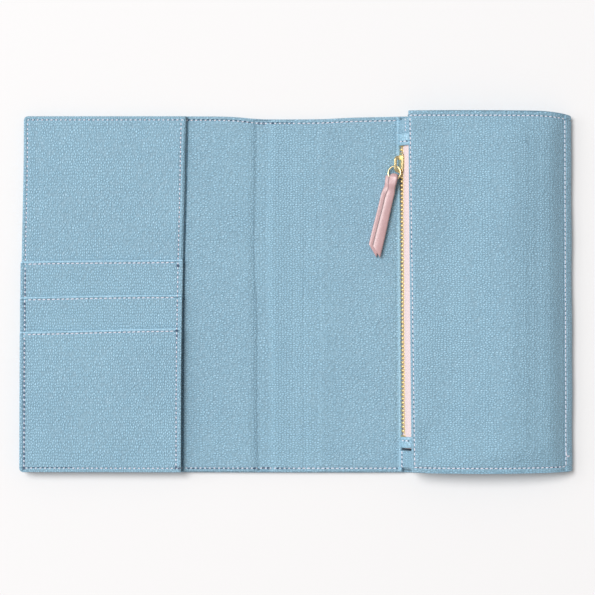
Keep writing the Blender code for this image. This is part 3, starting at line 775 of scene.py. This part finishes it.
def mouth_painted_shade(s):
    """Painted shade: the cut edge along the mouth is darkened where the gap under the mouth lies in shade."""
    return bell(s["r"], 0.0, 0.22)


def sleeve_high(x):
    return top_edge(x) - 0.25


# painted shade along the sleeve's mouth edge
sleeve = flat_panel("sleeve_panel", SLEEVE_Z, SLEEVE_THICK, -109.6, -70.9, sleeve_high, sleeve_top,
                    sleeve_low, corners=(1.7, 0.5, 0.5, 1.7), marks={"painted_shade": mouth_painted_shade})

# slot: height of its top edge at the left and at the right, and the level that the panel lies at
SLOTS = {"back": (12.8, 13.7, 3.9), "middle": (-1.3, -0.35, 4.6), "front": (-15.1, -13.8, 5.3)}
slot_panels = {}


def slot_edge(x, left_y, right_y):
    """The slightly curved top edge of a card slot."""
    f = (np.asarray(x) + 109.7) / 64.5
    return left_y + (right_y - left_y) * f + 0.10 * np.sin(f * 5.0 + left_y)


for slot, (left_y, right_y, z0) in SLOTS.items():
    def slot_high(x, left_y=left_y, right_y=right_y):
        return slot_edge(x, left_y, right_y)

    seed = 20 + len(slot_panels)

    def slot_top(a, b, s, seed=seed, front=(slot == "front")):
        sewn = np.minimum(np.minimum(s["l"], s["r"] - 0.5), s["b"])
        z = hem(s["l"]) + hem(s["b"])
        z = z + 0.08 * bell(s["r"], 0.8, 0.6) - 0.18 * bell(s["r"], 2.1, 0.36)
        mouth = s["t"]
        z = z + 0.30 * bell(mouth, 0.45, 0.40) - 0.17 * bell(mouth, 1.25, 0.30) + 0.05 * bell(mouth, 2.2, 0.7)
        z = z + 0.10 * ease(sewn / 9.0) * bell(mouth, 0, 6.0)
        if front:
            z = z + 0.22 * ease(sewn / 16.0) * ease(mouth / 12.0)
        z = z + 0.06 * ripple(a, b, 24, seed) * ease(sewn / 8.0)
        return z

    # the slots' top edges get rubbing plus a painted highlight, and their edges at the sleeve mouth get
    # painted shade
    slot_panels[slot] = flat_panel("card_slot_panel_" + slot, z0, 0.6, -109.95, -70.95, slot_high,
                                   slot_top, corners=(1.7, 0.4, 0.6, 0.9),
                                   marks={"wear_and_highlight": slot_edge_wear_and_highlight, "painted_shade": mouth_painted_shade})


# ------------------------------------------------------------------ zip pocket
def profile_line(points, count=400):
    """A smooth curve through points of a section, evenly spaced along its length."""
    points = np.asarray(points, float)
    seg = np.concatenate([[0], np.cumsum(np.linalg.norm(np.diff(points, axis=0), axis=1))])
    s = np.linspace(0, seg[-1], count)
    return np.stack([np.interp(s, seg, points[:, 0]), np.interp(s, seg, points[:, 1])], 1), seg[-1]


def sideways(section):
    """Unit directions across a section line, to its left."""
    way = np.gradient(section, axis=0)
    way /= np.linalg.norm(way, axis=1)[:, None]
    return np.stack([-way[:, 1], way[:, 0]], 1)


def flap_z(x):
    """The pocket front's outer face, as in the frame."""
    x = np.asarray(x, float)
    crown = 10.8 - 0.9 * (np.clip(64.0 - x, 0, None) / 19.0) ** 2
    crown = crown - 0.5 * (np.clip(46.5 - x, 0, None) / 1.9) ** 2
    t = np.clip((x - 64.0) / 46.0, 0, 1)
    side = 1.6 + 9.2 * np.sqrt(np.clip(1 - t ** 2.6, 0, 1))
    return np.where(x < 64, crown, side)


closer = 110 - 10 * (1 - np.sin(np.linspace(0, math.pi / 2, 120)))
steps = np.concatenate([np.linspace(44.7, 100, 220), closer])
steps = np.unique(np.clip(steps, 44.7, 110.0))
FLAP_LINE, FLAP_WIDTH = profile_line(np.stack([steps, flap_z(steps)], 1), 900)
FLAP_NORMAL = sideways(FLAP_LINE)
FLAP_S = np.linspace(0, FLAP_WIDTH, len(FLAP_LINE))
FLAP_THICK = 1.0
FLAP_LONG = 144.0


def flap_at(s):
    x = np.interp(s, FLAP_S, FLAP_LINE[:, 0])
    z = np.interp(s, FLAP_S, FLAP_LINE[:, 1])
    nx = np.interp(s, FLAP_S, FLAP_NORMAL[:, 0])
    nz = np.interp(s, FLAP_S, FLAP_NORMAL[:, 1])
    return x, z, nx, nz


def flap_place(a, b, h):
    x, z, nx, nz = flap_at(a)
    f = b / FLAP_LONG
    t = np.clip((x - 94.0) / 16.0, 0, 1)
    y_high = 72.5 - 1.5 * t ** 2.2
    y_low = -71.15 + 0.35 * t ** 2.2 + 0.15 * bell(x, 46, 4.0) - 0.2 * np.sin((x - 50) / 16.0)
    y = y_low + (y_high - y_low) * f
    lean = -0.55 * (y / 71.0) * (1 - ease(a / 30.0))
    out = h - FLAP_THICK
    return np.stack([x + nx * out + lean, y, z + nz * out], -1)


FLAP_IN_TOP = 2.0
FLAP_IN_LOW = 2.1


def flap_in_left(b):
    """The seam beside the zip runs closer to the edge at the top."""
    return 0.95 + 0.65 * (1 - b / FLAP_LONG)


def flap_top(a, b, s):
    x, z, nx, nz = flap_at(a)
    y = b - 71.8
    d = np.minimum(s["b"] + STITCH_IN - FLAP_IN_LOW, s["t"] + STITCH_IN - FLAP_IN_TOP)
    d = np.minimum(d, s["l"] + STITCH_IN - flap_in_left(b))
    out = hem(d, 0.11, 0.26)
    seam = a - seam_right_at
    out = out - 0.26 * bell(seam, 0, 0.36) + 0.08 * bell(np.abs(seam), 1.3, 0.6)
    inner = ease((d - 1.5) / 9.0)
    out = out + 0.16 * ripple(x, y, 34, 5) * inner
    out = out - 0.70 * bell(x, 60.0, 9.0) * inner
    out = out + 1.5 * bell(x, 87.0, 11.0) * inner + 0.55 * bell(x, 99.5, 4.0) * inner
    out = out - 0.75 * bell(x, 106.4, 2.8)
    out = out - 0.95 * bell(x, 52.2, 4.2) * bell(y, -58.0, 6.0)
    out = out - 0.45 * bell(x, 54.0, 6.5) * bell(y, 63.5, 4.5)
    out = out - 0.30 * bell(x, 49.0, 4.0) * bell(y, 20, 34) * inner
    ends = np.minimum(s["b"], s["t"])
    out = out - 0.75 * (1 - ease(ends / 7.0)) * ease((x - 47) / 12.0) * (1 - ease((x - 96) / 12))
    return out


seam_right_at = float(np.interp(107.0, FLAP_LINE[:, 0], FLAP_S))
flap = panel("pocket_front_panel", FLAP_WIDTH, FLAP_LONG, FLAP_THICK, flap_place, LEATHER, flap_top,
             corners=(0.7, 1.2, 1.6, 0.35), step=1.1, more_x=(seam_right_at,))


def gusset(name, side, wall_end, bulge, foot):
    """The pocket's end wall: along the edge, then round the corner to the zip, with a soft inward fold."""
    low, high = [], []
    y = side * 70.4
    for x in np.linspace(108.9, 48.0, 60):
        nearest = int(np.argmin(np.abs(FLAP_LINE[:, 0] - x)))
        px, pz = FLAP_LINE[nearest] - FLAP_NORMAL[nearest] * 1.25
        low.append((px, y, 1.15))
        high.append((px, y, max(pz, 1.6)))
    turn = ((44.9, 0.0, 1.2, 47.2), (43.4, 0.15, 1.35, 46.7), (42.4, 0.55, 1.7, 46.3), (41.7, 1.1, 2.2, 46.0),
            (41.3, 1.9, 2.35, 45.8), (41.1, 3.0, 2.35, 45.7))
    for low_x, inward, low_z, high_x in turn:
        low.append((low_x - foot * ease(inward / 1.1), y - side * inward, low_z))
        high.append((high_x, y - side * inward, 8.35))
    for t in np.linspace(0.2, 1, 6):
        yy = (y - side * 3.0) * (1 - t) + wall_end * t
        low.append((41.1 - foot, yy, 2.35))
        high.append((45.7, yy, 8.35))
    low, high = np.array(low), np.array(high)
    seg = np.concatenate([[0], np.cumsum(np.linalg.norm(np.diff(low, axis=0), axis=1))])
    width = seg[-1]

    def at(rows, s):
        return np.stack([np.interp(s, seg, rows[:, k]) for k in range(3)], -1)

    tangent = np.gradient((low + high) / 2, axis=0)
    out = np.cross(tangent, high - low + np.array([0, 0, 1e-3]))
    out /= np.linalg.norm(out, axis=1)[:, None]
    if (out[:30, 1].mean()) * side < 0:
        out = -out
    tall = 8.0

    def place(a, b, h):
        lo_p, hi_p, n = at(low, a), at(high, a), at(out, a)
        f = (b / tall)[..., None]
        p = lo_p * (1 - f) + hi_p * f
        turned = ease((a - (width - 11.0)) / 4.0)
        depth = -0.55 * ease(a / 14.0) * (1 - turned) + bulge * turned
        fold = (depth * np.sin(math.pi * b / tall))[..., None]
        return p + n * (fold + (h - 0.7)[..., None])

    def top(a, b, s):
        return 0.08 * ripple(a, b, 12, 31) - 0.12 * bell(b, tall / 2, 0.6)

    return panel(name, width, tall, 0.7, place, LEATHER, top, step=1.2, step_y=0.8)


gusset_low = gusset("gusset_fold_bottom", -1, -62.4, -0.2, 0.0)
gusset_high = gusset("gusset_fold_top", 1, 62.4, 0.60, 0.60)


# ------------------------------------------------------------------ zip
LEAN = math.radians(68.0)
WALL = np.array([42.7, 0.0, 4.6])
U = np.array([math.cos(LEAN), 0.0, math.sin(LEAN)])
N = np.array([-math.sin(LEAN), 0.0, math.cos(LEAN)])
Y = np.array([0.0, 1.0, 0.0])


def on_wall(p, y, q):
    p, y, q = np.broadcast_arrays(np.asarray(p, float), np.asarray(y, float), np.asarray(q, float))
    return WALL + p[..., None] * U + y[..., None] * Y + q[..., None] * N


def tape(name, line, node):
    """A woven tape along the zip, following a section line."""
    smooth, width = profile_line(line, 60)
    normal = sideways(smooth)
    along = np.linspace(0, width, 60)

    def place(a, b, h):
        x = np.interp(a, along, smooth[:, 0]) + np.interp(a, along, normal[:, 0]) * (h - 0.35)
        z = np.interp(a, along, smooth[:, 1]) + np.interp(a, along, normal[:, 1]) * (h - 0.35)
        wave = 0.05 * np.sin(b / 6.3) + 0.04 * np.sin(b / 2.9 + 1)
        y = b - 61.5
        return np.stack([x + zip_drift(y), y, z + wave], -1)

    def top(a, b, s):
        return 0.05 * np.sin(a * 2 * math.pi / 0.55)

    ob = panel(name, width, 123.4, 0.3, place, TAPE, top, step=0.12, step_y=0.9)
    belong(ob, "right_cover", "pink_tape", node)
    return ob


upper = on_wall(0.42, 0, 0.36)
tape("tape_outer", [(upper[0], upper[2]), (42.85, 5.75), (43.3, 6.75), (44.1, 7.6), (44.8, 8.1), (45.5, 8.5)],
     "zip_tape_outer")
lower = on_wall(-0.95, 0, -0.17)
tape("tape_inner", [(42.00, 1.85), (42.15, 2.4), (42.30, 2.9), (lower[0], lower[2])], "zip_tape_inner")


def extruded(outline, low, high):
    """An outline drawn out between two levels."""
    bm = bmesh.new()
    face = bm.faces.new([bm.verts.new((x, y, low)) for x, y in outline])
    made = bmesh.ops.extrude_face_region(bm, geom=[face])
    for v in made["geom"]:
        if isinstance(v, bmesh.types.BMVert):
            v.co.z = high
    bmesh.ops.recalc_face_normals(bm, faces=bm.faces)
    return bm


def points_and_faces(bm):
    bm.verts.index_update()
    points = np.array([v.co[:] for v in bm.verts])
    faces = [tuple(v.index for v in f.verts) for f in bm.faces]
    bm.free()
    return points, faces


def tooth_shape():
    """One tooth: a stamped scoop gripping the tape's cord, nose to the middle of the zip."""
    outline = [(-0.20, -0.34), (-0.08, -0.42), (0.15, -0.42), (0.40, -0.52), (1.05, -0.52), (1.20, -0.40),
               (1.20, 0.40), (1.05, 0.52), (0.40, 0.52), (0.15, 0.42), (-0.08, 0.42), (-0.20, 0.34)]
    bm = extruded(outline, -0.62, 0.62)
    bmesh.ops.bevel(bm, geom=bm.edges[:], offset=0.13, segments=2, affect="EDGES", clamp_overlap=True)
    points, faces = points_and_faces(bm)
    points[:, 2] -= 0.14 * bell(points[:, 0], -0.1, 0.25) * np.sign(points[:, 2])
    return points, faces


PITCH = 1.6
tooth = tooth_shape()
rng = np.random.default_rng(4)
for side, where in ((-1, "inner"), (1, "outer")):
    start = -56.2 + (0.8 if side < 0 else 0.0) + 0.8
    frames = []
    reach, lift, thick = (1.0, 0.28, 1.0) if side < 0 else (0.80, -0.10, 0.68)
    for k in range(int((60.6 - start) / PITCH) + 1):
        y = start + k * PITCH
        turn = rng.normal(0, 0.02)
        x = U * side * math.cos(turn) + Y * math.sin(turn)
        spot = on_wall(0, y, lift + rng.normal(0, 0.02)) + np.array([float(zip_drift(y)), 0, 0])
        frames.append((spot, x * reach, np.cross(N, x), N * thick))
    row = scatter("teeth_row_" + where, tooth, frames, TEETH_GOLD)
    belong(row, "right_cover", "gold_metal", "zip_teeth_" + where)


def tab(name, y0, y1, seam_y, node, corners):
    """A folded leather tab over the zip's end, from the lining up to the pocket front."""
    length = y1 - y0
    section = [(41.35, 4.0), (41.75, 4.9), (42.35, 6.0), (43.1, 7.0), (43.9, 7.7), (44.8, 8.1), (45.7, 8.2)]
    smooth, width = profile_line(section, 60)
    normal = sideways(smooth)
    along = np.linspace(0, width, 60)

    def place(a, b, h):
        y = y0 + b
        x = np.interp(a, along, smooth[:, 0]) + np.interp(a, along, normal[:, 0]) * h + zip_drift(y)
        z = np.interp(a, along, smooth[:, 1]) + np.interp(a, along, normal[:, 1]) * h
        return np.stack([x, y, z], -1)

    def top(a, b, s):
        d = np.minimum.reduce([s["l"], s["r"], s["b"], s["t"]])
        return 0.14 * ease(d / 1.2) - 0.20 * bell(b, seam_y - y0, 0.35)

    ob = panel(name, width, length, 0.8, place, LEATHER_FOLD, top, corners=corners, step=0.3)
    belong(ob, "right_cover", "blue_leather", node)
    return ob


TAB_SEAM_TOP = 60.3
TAB_SEAM_LOW = -58.4
tab_high = tab("zip_end_fold_top", 58.8, 63.6, TAB_SEAM_TOP, "zip_tab_top", (0.5, 0.5, 0.7, 0.7))
tab_low = tab("zip_end_fold_bottom", -61.3, -56.9, TAB_SEAM_LOW, "zip_tab_bottom", (2.0, 1.2, 0.4, 0.4))


# ------------------------------------------------------------------ slider
def solid_outline(outline, low, high, to, round_by, segments=3):
    """An outlined piece with rounded edges, placed by a function."""
    bm = extruded(outline, low, high)
    sharp = [e for e in bm.edges if e.calc_face_angle(0) > math.radians(40)]
    bmesh.ops.bevel(bm, geom=sharp, offset=round_by, segments=segments, affect="EDGES", clamp_overlap=True)
    bmesh.ops.triangulate(bm, faces=[f for f in bm.faces if len(f.verts) > 4])
    points, faces = points_and_faces(bm)
    return to(points), faces


SLIDE_Y = 52.0


def in_slider(points):
    points = np.asarray(points, float)
    return on_wall(points[:, 0], points[:, 1] + SLIDE_Y, points[:, 2])


def in_arch(points):
    points = np.asarray(points, float)
    return on_wall(points[:, 2], points[:, 0] + SLIDE_Y, points[:, 1])


def turn_arc(cx, cy, r, start, end, steps=8):
    return [(cx + r * math.cos(math.radians(start + (end - start) * i / steps)),
             cy + r * math.sin(math.radians(start + (end - start) * i / steps))) for i in range(steps + 1)]


shield = turn_arc(0.95, 2.9, 1.05, 0, 90) + turn_arc(-0.95, 2.9, 1.05, 90, 180)
shield += [(-2.0, 0.4), (-1.82, -1.6)] + turn_arc(-1.05, -3.2, 0.72, 180, 270)
shield += turn_arc(1.05, -3.2, 0.72, 270, 360) + [(1.82, -1.6), (2.0, 0.4)]
shield = [(x * 0.86, y) for x, y in shield]
parts = [solid_outline(shield, 0.82, 1.36, in_slider, 0.16)]
parts.append(solid_outline(shield, -1.26, -0.84, in_slider, 0.12))
raised = [(x * 0.62, y * 0.80 + 0.1) for x, y in shield]
parts.append(solid_outline(raised, 1.28, 1.50, in_slider, 0.1))
for s in (-1, 1):
    lip = [(s * 1.48, -2.6), (s * 1.48, 2.9), (s * 1.72, 2.7), (s * 1.72, -1.6)]
    lip = lip if s > 0 else lip[::-1]
    parts.append(solid_outline(lip, 0.40, 0.95, in_slider, 0.07, 2))
web = [(-0.3, 0.6), (0.3, 0.6), (0.5, 3.4), (-0.5, 3.4)]
parts.append(solid_outline(web, -0.9, 0.9, in_slider, 0.08, 2))


def merge(name, pieces, mat):
    points, faces = [], []
    for p, f in pieces:
        start = len(points)
        points.extend(p)
        faces.extend(tuple(start + i for i in face) for face in f)
    return make_mesh(name, points, faces, mat)


slider = merge("slider_shell", parts, GOLD)
belong(slider, "slider", "gold_metal", "slider_body")

arch = [(-3.95, 1.3), (-2.45, 1.3)] + turn_arc(-1.95, 2.55, 0.5, 180, 90, 7)
arch += turn_arc(0.75, 2.55, 0.5, 90, 0, 7) + [(1.25, 1.3), (2.85, 1.3)]
arch += turn_arc(1.15, 2.4, 1.7, 0, 90, 8) + turn_arc(-2.25, 2.4, 1.7, 90, 180, 8)
bridge = merge("slider_bridge_arch", [solid_outline(arch, -0.42, 0.42, in_arch, 0.18)], GOLD)
belong(bridge, "slider", "gold_metal", "slider_bridge")

for ob in (slider, bridge):
    ob.data.set_sharp_from_angle(angle=math.radians(35))

# ------------------------------------------------------------------ ring
TILT = math.radians(25.0)
V = np.array([math.cos(TILT), 0.0, math.sin(TILT)])
RING_N = np.cross(V, Y)
RING_R = 2.65
HOLD = on_wall(0.0, SLIDE_Y - 1.74, 2.6)
RING_BACK = math.sqrt(RING_R ** 2 - 1.39 ** 2)
RING_C = HOLD - 1.39 * V - RING_BACK * Y


def wire_ring(around=120, section=18):
    points = []
    for i in range(around):
        th = 2 * math.pi * i / around
        out = V * math.cos(th) + Y * math.sin(th)
        r = 0.33 * (1 + 0.01 * math.sin(3 * th))
        for k in range(section):
            ph = 2 * math.pi * k / section
            points.append(RING_C + out * (RING_R + r * math.cos(ph)) + RING_N * r * math.sin(ph))
    return points, tube_faces(around, section, closed=True)


ring = merge("wire_ring", [wire_ring()], GOLD)
belong(ring, "ring", "gold_metal", "pull_ring")

# ------------------------------------------------------------------ strap folded over the ring
PULL_TURN = math.radians(12.9)
ALPHA = math.atan(math.tan(PULL_TURN) / math.cos(TILT))
PULL_AT = RING_C - RING_R * (math.sin(ALPHA) * V + math.cos(ALPHA) * Y)
HEAD_X = math.cos(ALPHA) * V - math.sin(ALPHA) * Y
HEAD_Y = math.sin(ALPHA) * V + math.cos(ALPHA) * Y
TAIL_Y = np.array([-math.sin(PULL_TURN), -math.cos(PULL_TURN), 0.0])
TAIL_X = np.array([math.cos(PULL_TURN), -math.sin(PULL_TURN), 0.0])
PULL_THICK = 0.9
LOOP_CENTRE = 0.62
LOOP_HALF = LOOP_CENTRE + PULL_THICK / 2


def strap_row(s, offset, slip, tail_z):
    """Centre and sideways direction of the strip at a distance from the ring."""
    flat = float(ease((s - 1.0) / 6.0))
    near = PULL_AT + HEAD_X * slip - HEAD_Y * s + RING_N * offset
    level = PULL_AT + TAIL_Y * s + TAIL_X * slip
    level[2] = tail_z
    across = HEAD_X * (1 - flat) + TAIL_X * flat
    return near * (1 - flat) + level * flat, across / np.linalg.norm(across)


def half_width(s):
    """The strip is pinched just below the ring and widens slowly to its end."""
    half = 1.80 + 0.22 * bell(s, 0.2, 1.6) - 0.26 * bell(s, 3.6, 1.7)
    return float(half + 0.04 * ease((s - 5) / 4) + 0.26 * ease((s - 10) / 14))


def tail_shift(s, side):
    """Sideways shift: the tail underneath shows to the left of the one on top."""
    if side > 0:
        return 0.45 * (1 - float(ease((s - 3) / 5)))
    return -1.50 - 0.50 * (1 - float(ease(s / 4)))


def strap_path():
    """Centre, sideways direction and half width, from the back tail's end, round the ring, to the front's."""
    rows = []
    tail = np.concatenate([np.linspace(29.5, 8.0, 60), np.linspace(7.8, 1.6, 32)])
    for s in tail:
        pinch = float(ease((s - 2.0) / 3.0))
        offset = -(LOOP_HALF + (0.50 - LOOP_HALF) * pinch)
        rows.append((*strap_row(s, offset, tail_shift(s, -1), 3.24), half_width(s)))
    for k in range(1, 24):
        turn = math.radians(-90 - 180 * k / 24)
        s = -LOOP_CENTRE + LOOP_HALF * math.cos(turn) * 1.15
        f = float(ease(k / 11))
        half = 2.0 - 0.55 * math.sin(math.pi * k / 24)
        shift = tail_shift(s, -1) * (1 - f) + tail_shift(s, 1) * f
        rows.append((*strap_row(s, LOOP_HALF * math.sin(turn), shift, 3.9), half))
    for s in tail[::-1]:
        pinch = float(ease((s - 2.0) / 3.0))
        offset = LOOP_HALF + (0.50 - LOOP_HALF) * pinch
        height = 4.20 + 0.10 * math.sin(s / 5.5 + 0.5) * float(ease((s - 6) / 6))
        slip = tail_shift(s, 1) + 0.08 * math.sin(s / 7.0)
        rows.append((*strap_row(s, offset, slip, height), half_width(s)))
    return rows


def build_strap():
    """The strip as a closed band: crowned outside, flat inside, rounded edges, ends cut on the slant."""
    rows = strap_path()
    centres = np.array([row[0] for row in rows])
    across = np.array([row[1] for row in rows])
    half = np.array([row[2] for row in rows])
    along = np.gradient(centres, axis=0)
    along /= np.linalg.norm(along, axis=1)[:, None]
    normal = np.cross(across, along)
    normal /= np.linalg.norm(normal, axis=1)[:, None]
    count = len(centres)
    ends = np.arange(count)
    skew_back = np.exp(-ends / 9.0)
    skew_front = np.exp(-(count - 1 - ends) / 9.0)
    section = []
    for k in range(28):
        th = 2 * math.pi * k / 28
        x = math.copysign(abs(math.cos(th)) ** 0.35, math.cos(th))
        z = math.copysign(abs(math.sin(th)) ** 0.55, math.sin(th))
        section.append((x, z))
    points = []
    for i in range(count):
        for x, z in section:
            crown = (0.30 if i > count / 2 else 0.08) * (1 - x * x) if z > 0 else 0.0
            h = z * (PULL_THICK / 2) + math.copysign(crown, z)
            slip = along[i] * x * half[i] * 1.07 * (skew_back[i] - skew_front[i])
            points.append(centres[i] + across[i] * x * half[i] - normal[i] * h - slip)
    ob = make_mesh("pull_strip", points, tube_faces(count, len(section)), PINK)
    side_x = np.array([x for x, z in section])
    front = (np.arange(count) > count / 2)[:, None]
    # painted shade: darkest on the front tail's left edge, by the shaded crevice between the tails, and on
    # the right edges, where the crown turns away from the light
    left = ease((-side_x - 0.72) / 0.10)[None, :]
    right = ease((side_x - 0.80) / 0.10)[None, :]
    strap_painted_shade = np.where(front, left + 0.55 * right, 0.15 * left + 0.5 * right).reshape(-1)
    add_mark(ob, "painted_shade", strap_painted_shade)
    bm = bmesh.new()
    bm.from_mesh(ob.data)
    bmesh.ops.recalc_face_normals(bm, faces=bm.faces)
    bm.to_mesh(ob.data)
    bm.free()
    return ob


strap = build_strap()
strap.data.set_sharp_from_angle(angle=math.radians(50))
belong(strap, "pull", "pink_leather", "pull_strap")

# ------------------------------------------------------------------ seams
left_tree = tree_of(sleeve, *slot_panels.values(), lining_left)
right_tree = tree_of(lining_right)
flap_tree = tree_of(flap)


def edge_y(x, side):
    return (top_edge(x) - 0.3 if side > 0 else low_edge(x) + 0.3) - side * (STITCH_IN - 0.1)


def along_edge(x0, x1, side, z=4.0):
    return [(float(x), float(edge_y(x, side)), z) for x in np.linspace(x0, x1, int(abs(x1 - x0) / 0.5) + 2)]


left_x = lambda y: float(left_edge(y)) + 0.35 + STITCH_IN
down_left = [(left_x(y), float(y), 4.0) for y in np.linspace(69.0, -69.2, 280)]
left_seams = ["seam_left_edge", "seam_spine_top", "seam_spine_bottom"]
sew("stitches_left_edge", "left_cover", left_seams, left_tree,
    [along_edge(-0.1, -107.0, 1) + down_left + along_edge(-107.0, -0.1, -1)], 41,
    long=1.10, hole=0.68, fold=-1)
mouth_line = [(float(mouth_x(y)) - 2.1, float(y), 4.0) for y in np.linspace(68.6, -68.8, 280)]
sew("stitches_sleeve_mouth", "left_cover", ["seam_sleeve_mouth"], left_tree, [mouth_line], 42,
    long=1.10, hole=0.66)
for i, (slot, (left_y, right_y, z0)) in enumerate(SLOTS.items()):
    path = [(float(x), float(slot_edge(x, left_y, right_y) - 1.25), 4.0)
            for x in np.linspace(-107.0, -48.6, 120)]
    sew("stitches_slot_" + slot, "left_cover", ["seam_slot_" + slot], left_tree, [path], 50 + i)

for name, side, seed in (("top", 1, 62), ("bottom", -1, 63)):
    sew("stitches_right_" + name, "right_cover", ["seam_right_" + name], right_tree,
        [along_edge(0.1, 40.0, side)], seed, fold=1)


def flap_point(s, b):
    p = flap_place(np.array([s]), np.array([b]), np.array([FLAP_THICK]))[0]
    return tuple(float(c) for c in p)


s1 = seam_right_at
b0, b1 = FLAP_IN_LOW, FLAP_LONG - FLAP_IN_TOP
three_sides = [flap_point(s, b1) for s in np.linspace(s1, flap_in_left(b1), 130)]
three_sides += [flap_point(flap_in_left(b), b) for b in np.linspace(b1, b0, 280)[1:-1]]
three_sides += [flap_point(s, b0) for s in np.linspace(flap_in_left(b0), s1, 130)]
sew("stitches_pocket_front", "right_cover", ["seam_pocket_front"], flap_tree, [three_sides], 64)
outside = [flap_point(s1, b) for b in np.linspace(b0 + 0.4, b1 - 0.4, 280)]
sew("stitches_pocket_outside", "right_cover", [], flap_tree, [outside], 65, long=1.72, radius=0.18, slant=2.0,
    hole=0.30)


def thread_end(name, path, radius=0.2, around=8):
    """A loose end of thread that lies on the pocket front beside its seam."""
    path = np.array(path, float)
    knots = np.linspace(0, len(path) - 1, 28)
    route = np.stack([np.interp(knots, np.arange(len(path)), path[:, k]) for k in range(2)], 1)
    kernel = bell(np.arange(-4, 5), 0, 2.0)
    padded = np.pad(route, ((4, 4), (0, 0)), mode="edge")
    route = np.stack([np.convolve(padded[:, k], kernel / kernel.sum(), mode="valid") for k in range(2)], 1)
    points = []
    for i, (x, y) in enumerate(route):
        hit, normal, _, _ = flap_tree.ray_cast(Vector((x, y, 20.0)), Vector((0, 0, -1)))
        centre = np.array(hit) + np.array(normal) * radius * 0.8
        way = route[min(i + 1, len(route) - 1)] - route[max(i - 1, 0)]
        side = np.cross(np.array([way[0], way[1], 0.0]), np.array(normal))
        side /= np.linalg.norm(side)
        for k in range(around):
            th = 2 * math.pi * k / around
            points.append(centre + radius * (side * math.cos(th) + np.array(normal) * math.sin(th)))
    *sides, first, last = tube_faces(len(route), around)
    faces = [face[::-1] for face in sides] + [first, last]
    belong(make_mesh(name, points, faces, THREAD), "right_cover", "thread")


thread_end("thread_end_pocket",
           [(107.0, -62.6), (107.1, -63.8), (107.5, -64.8), (108.1, -64.9), (108.2, -64.2)])

for name, node, piece, y in (("stitches_tab_top", "seam_tab_top", tab_high, TAB_SEAM_TOP),
                             ("stitches_tab_bottom", "seam_tab_bottom", tab_low, TAB_SEAM_LOW)):
    path = [(41.6 + 2.6 * f + float(zip_drift(y)), y, 5.2 + 3.2 * f) for f in np.linspace(0, 1, 14)]
    sew(name, "right_cover", [node], tree_of(piece), [path], 70, down=(0.6, 0, -0.8), reach=3.0, long=1.2)

gusset_tree = tree_of(gusset_low)
path = [(41.95, float(y), 4.0) for y in np.linspace(-62.4, -69.6, 20)]
sew("stitches_gusset_end", "right_cover", [], gusset_tree, [path], 72)
path = [(43.35, float(y), 6.0) for y in np.linspace(64.2, 69.9, 20)]
sew("stitches_gusset_top", "right_cover", [], tree_of(gusset_high), [path], 73,
    long=0.95, radius=0.16, pitch=1.3, holes=False)

# stitches show on the outside of the cover too
under_tree = tree_of(cover["left"], cover["right"])
for side, body in (("left", "left_cover"), ("right", "right_cover")):
    sign = -1 if side == "left" else 1
    far = 108.1
    xs = np.linspace(0.1, far, 220) * sign
    top_run = [(float(x), float(top_edge(x) - STITCH_IN), -1.0) for x in xs]
    low_run = [(float(x), float(low_edge(x) + STITCH_IN), -1.0) for x in xs[::-1]]
    x_end = lambda y: (float(left_edge(y)) + STITCH_IN) if sign < 0 else (RIGHT_END - STITCH_IN)
    side_run = [(x_end(y), float(y), -1.0) for y in np.linspace(69.3, -69.4, 280)]
    sew("stitches_outside_" + side, body, [], under_tree, [top_run + side_run + low_run], 80 + sign,
        down=(0, 0, 1), reach=3.0, rise=0.10, radius=0.2, fold=sign)

# ------------------------------------------------------------------ bodies, replaced nodes, finishes
for ob, nodes, end in (
        (cover["left"], ("outer_cover_left", "outer_cover_spine"), -1),
        (lining_left, ("lining_left", "lining_spine"), -1),
        (cover["right"], ("outer_cover_right",), 1),
        (lining_right, ("lining_right",), 1)):
    follow(ob, "left_cover" if end < 0 else "right_cover", end)
    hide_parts(*nodes)
belong(sleeve, "left_cover", "blue_leather", "passport_sleeve")
for slot, ob in slot_panels.items():
    belong(ob, "left_cover", "blue_leather", "card_slot_" + slot)
for ob, node in ((flap, "pocket_front"), (gusset_low, "gusset_bottom"), (gusset_high, "gusset_top")):
    belong(ob, "right_cover", "blue_leather", node)

for node, mat in (("board_left", CARD), ("board_right", CARD), ("spine_interfacing", CLOTH),
                  ("pocket_lining_back", CLOTH), ("pocket_lining_front", CLOTH),
                  ("zip_stop_bottom", TEETH_GOLD)):
    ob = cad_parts[node]
    ob.data.materials.clear()
    ob.data.materials.append(mat)

stage_setup()
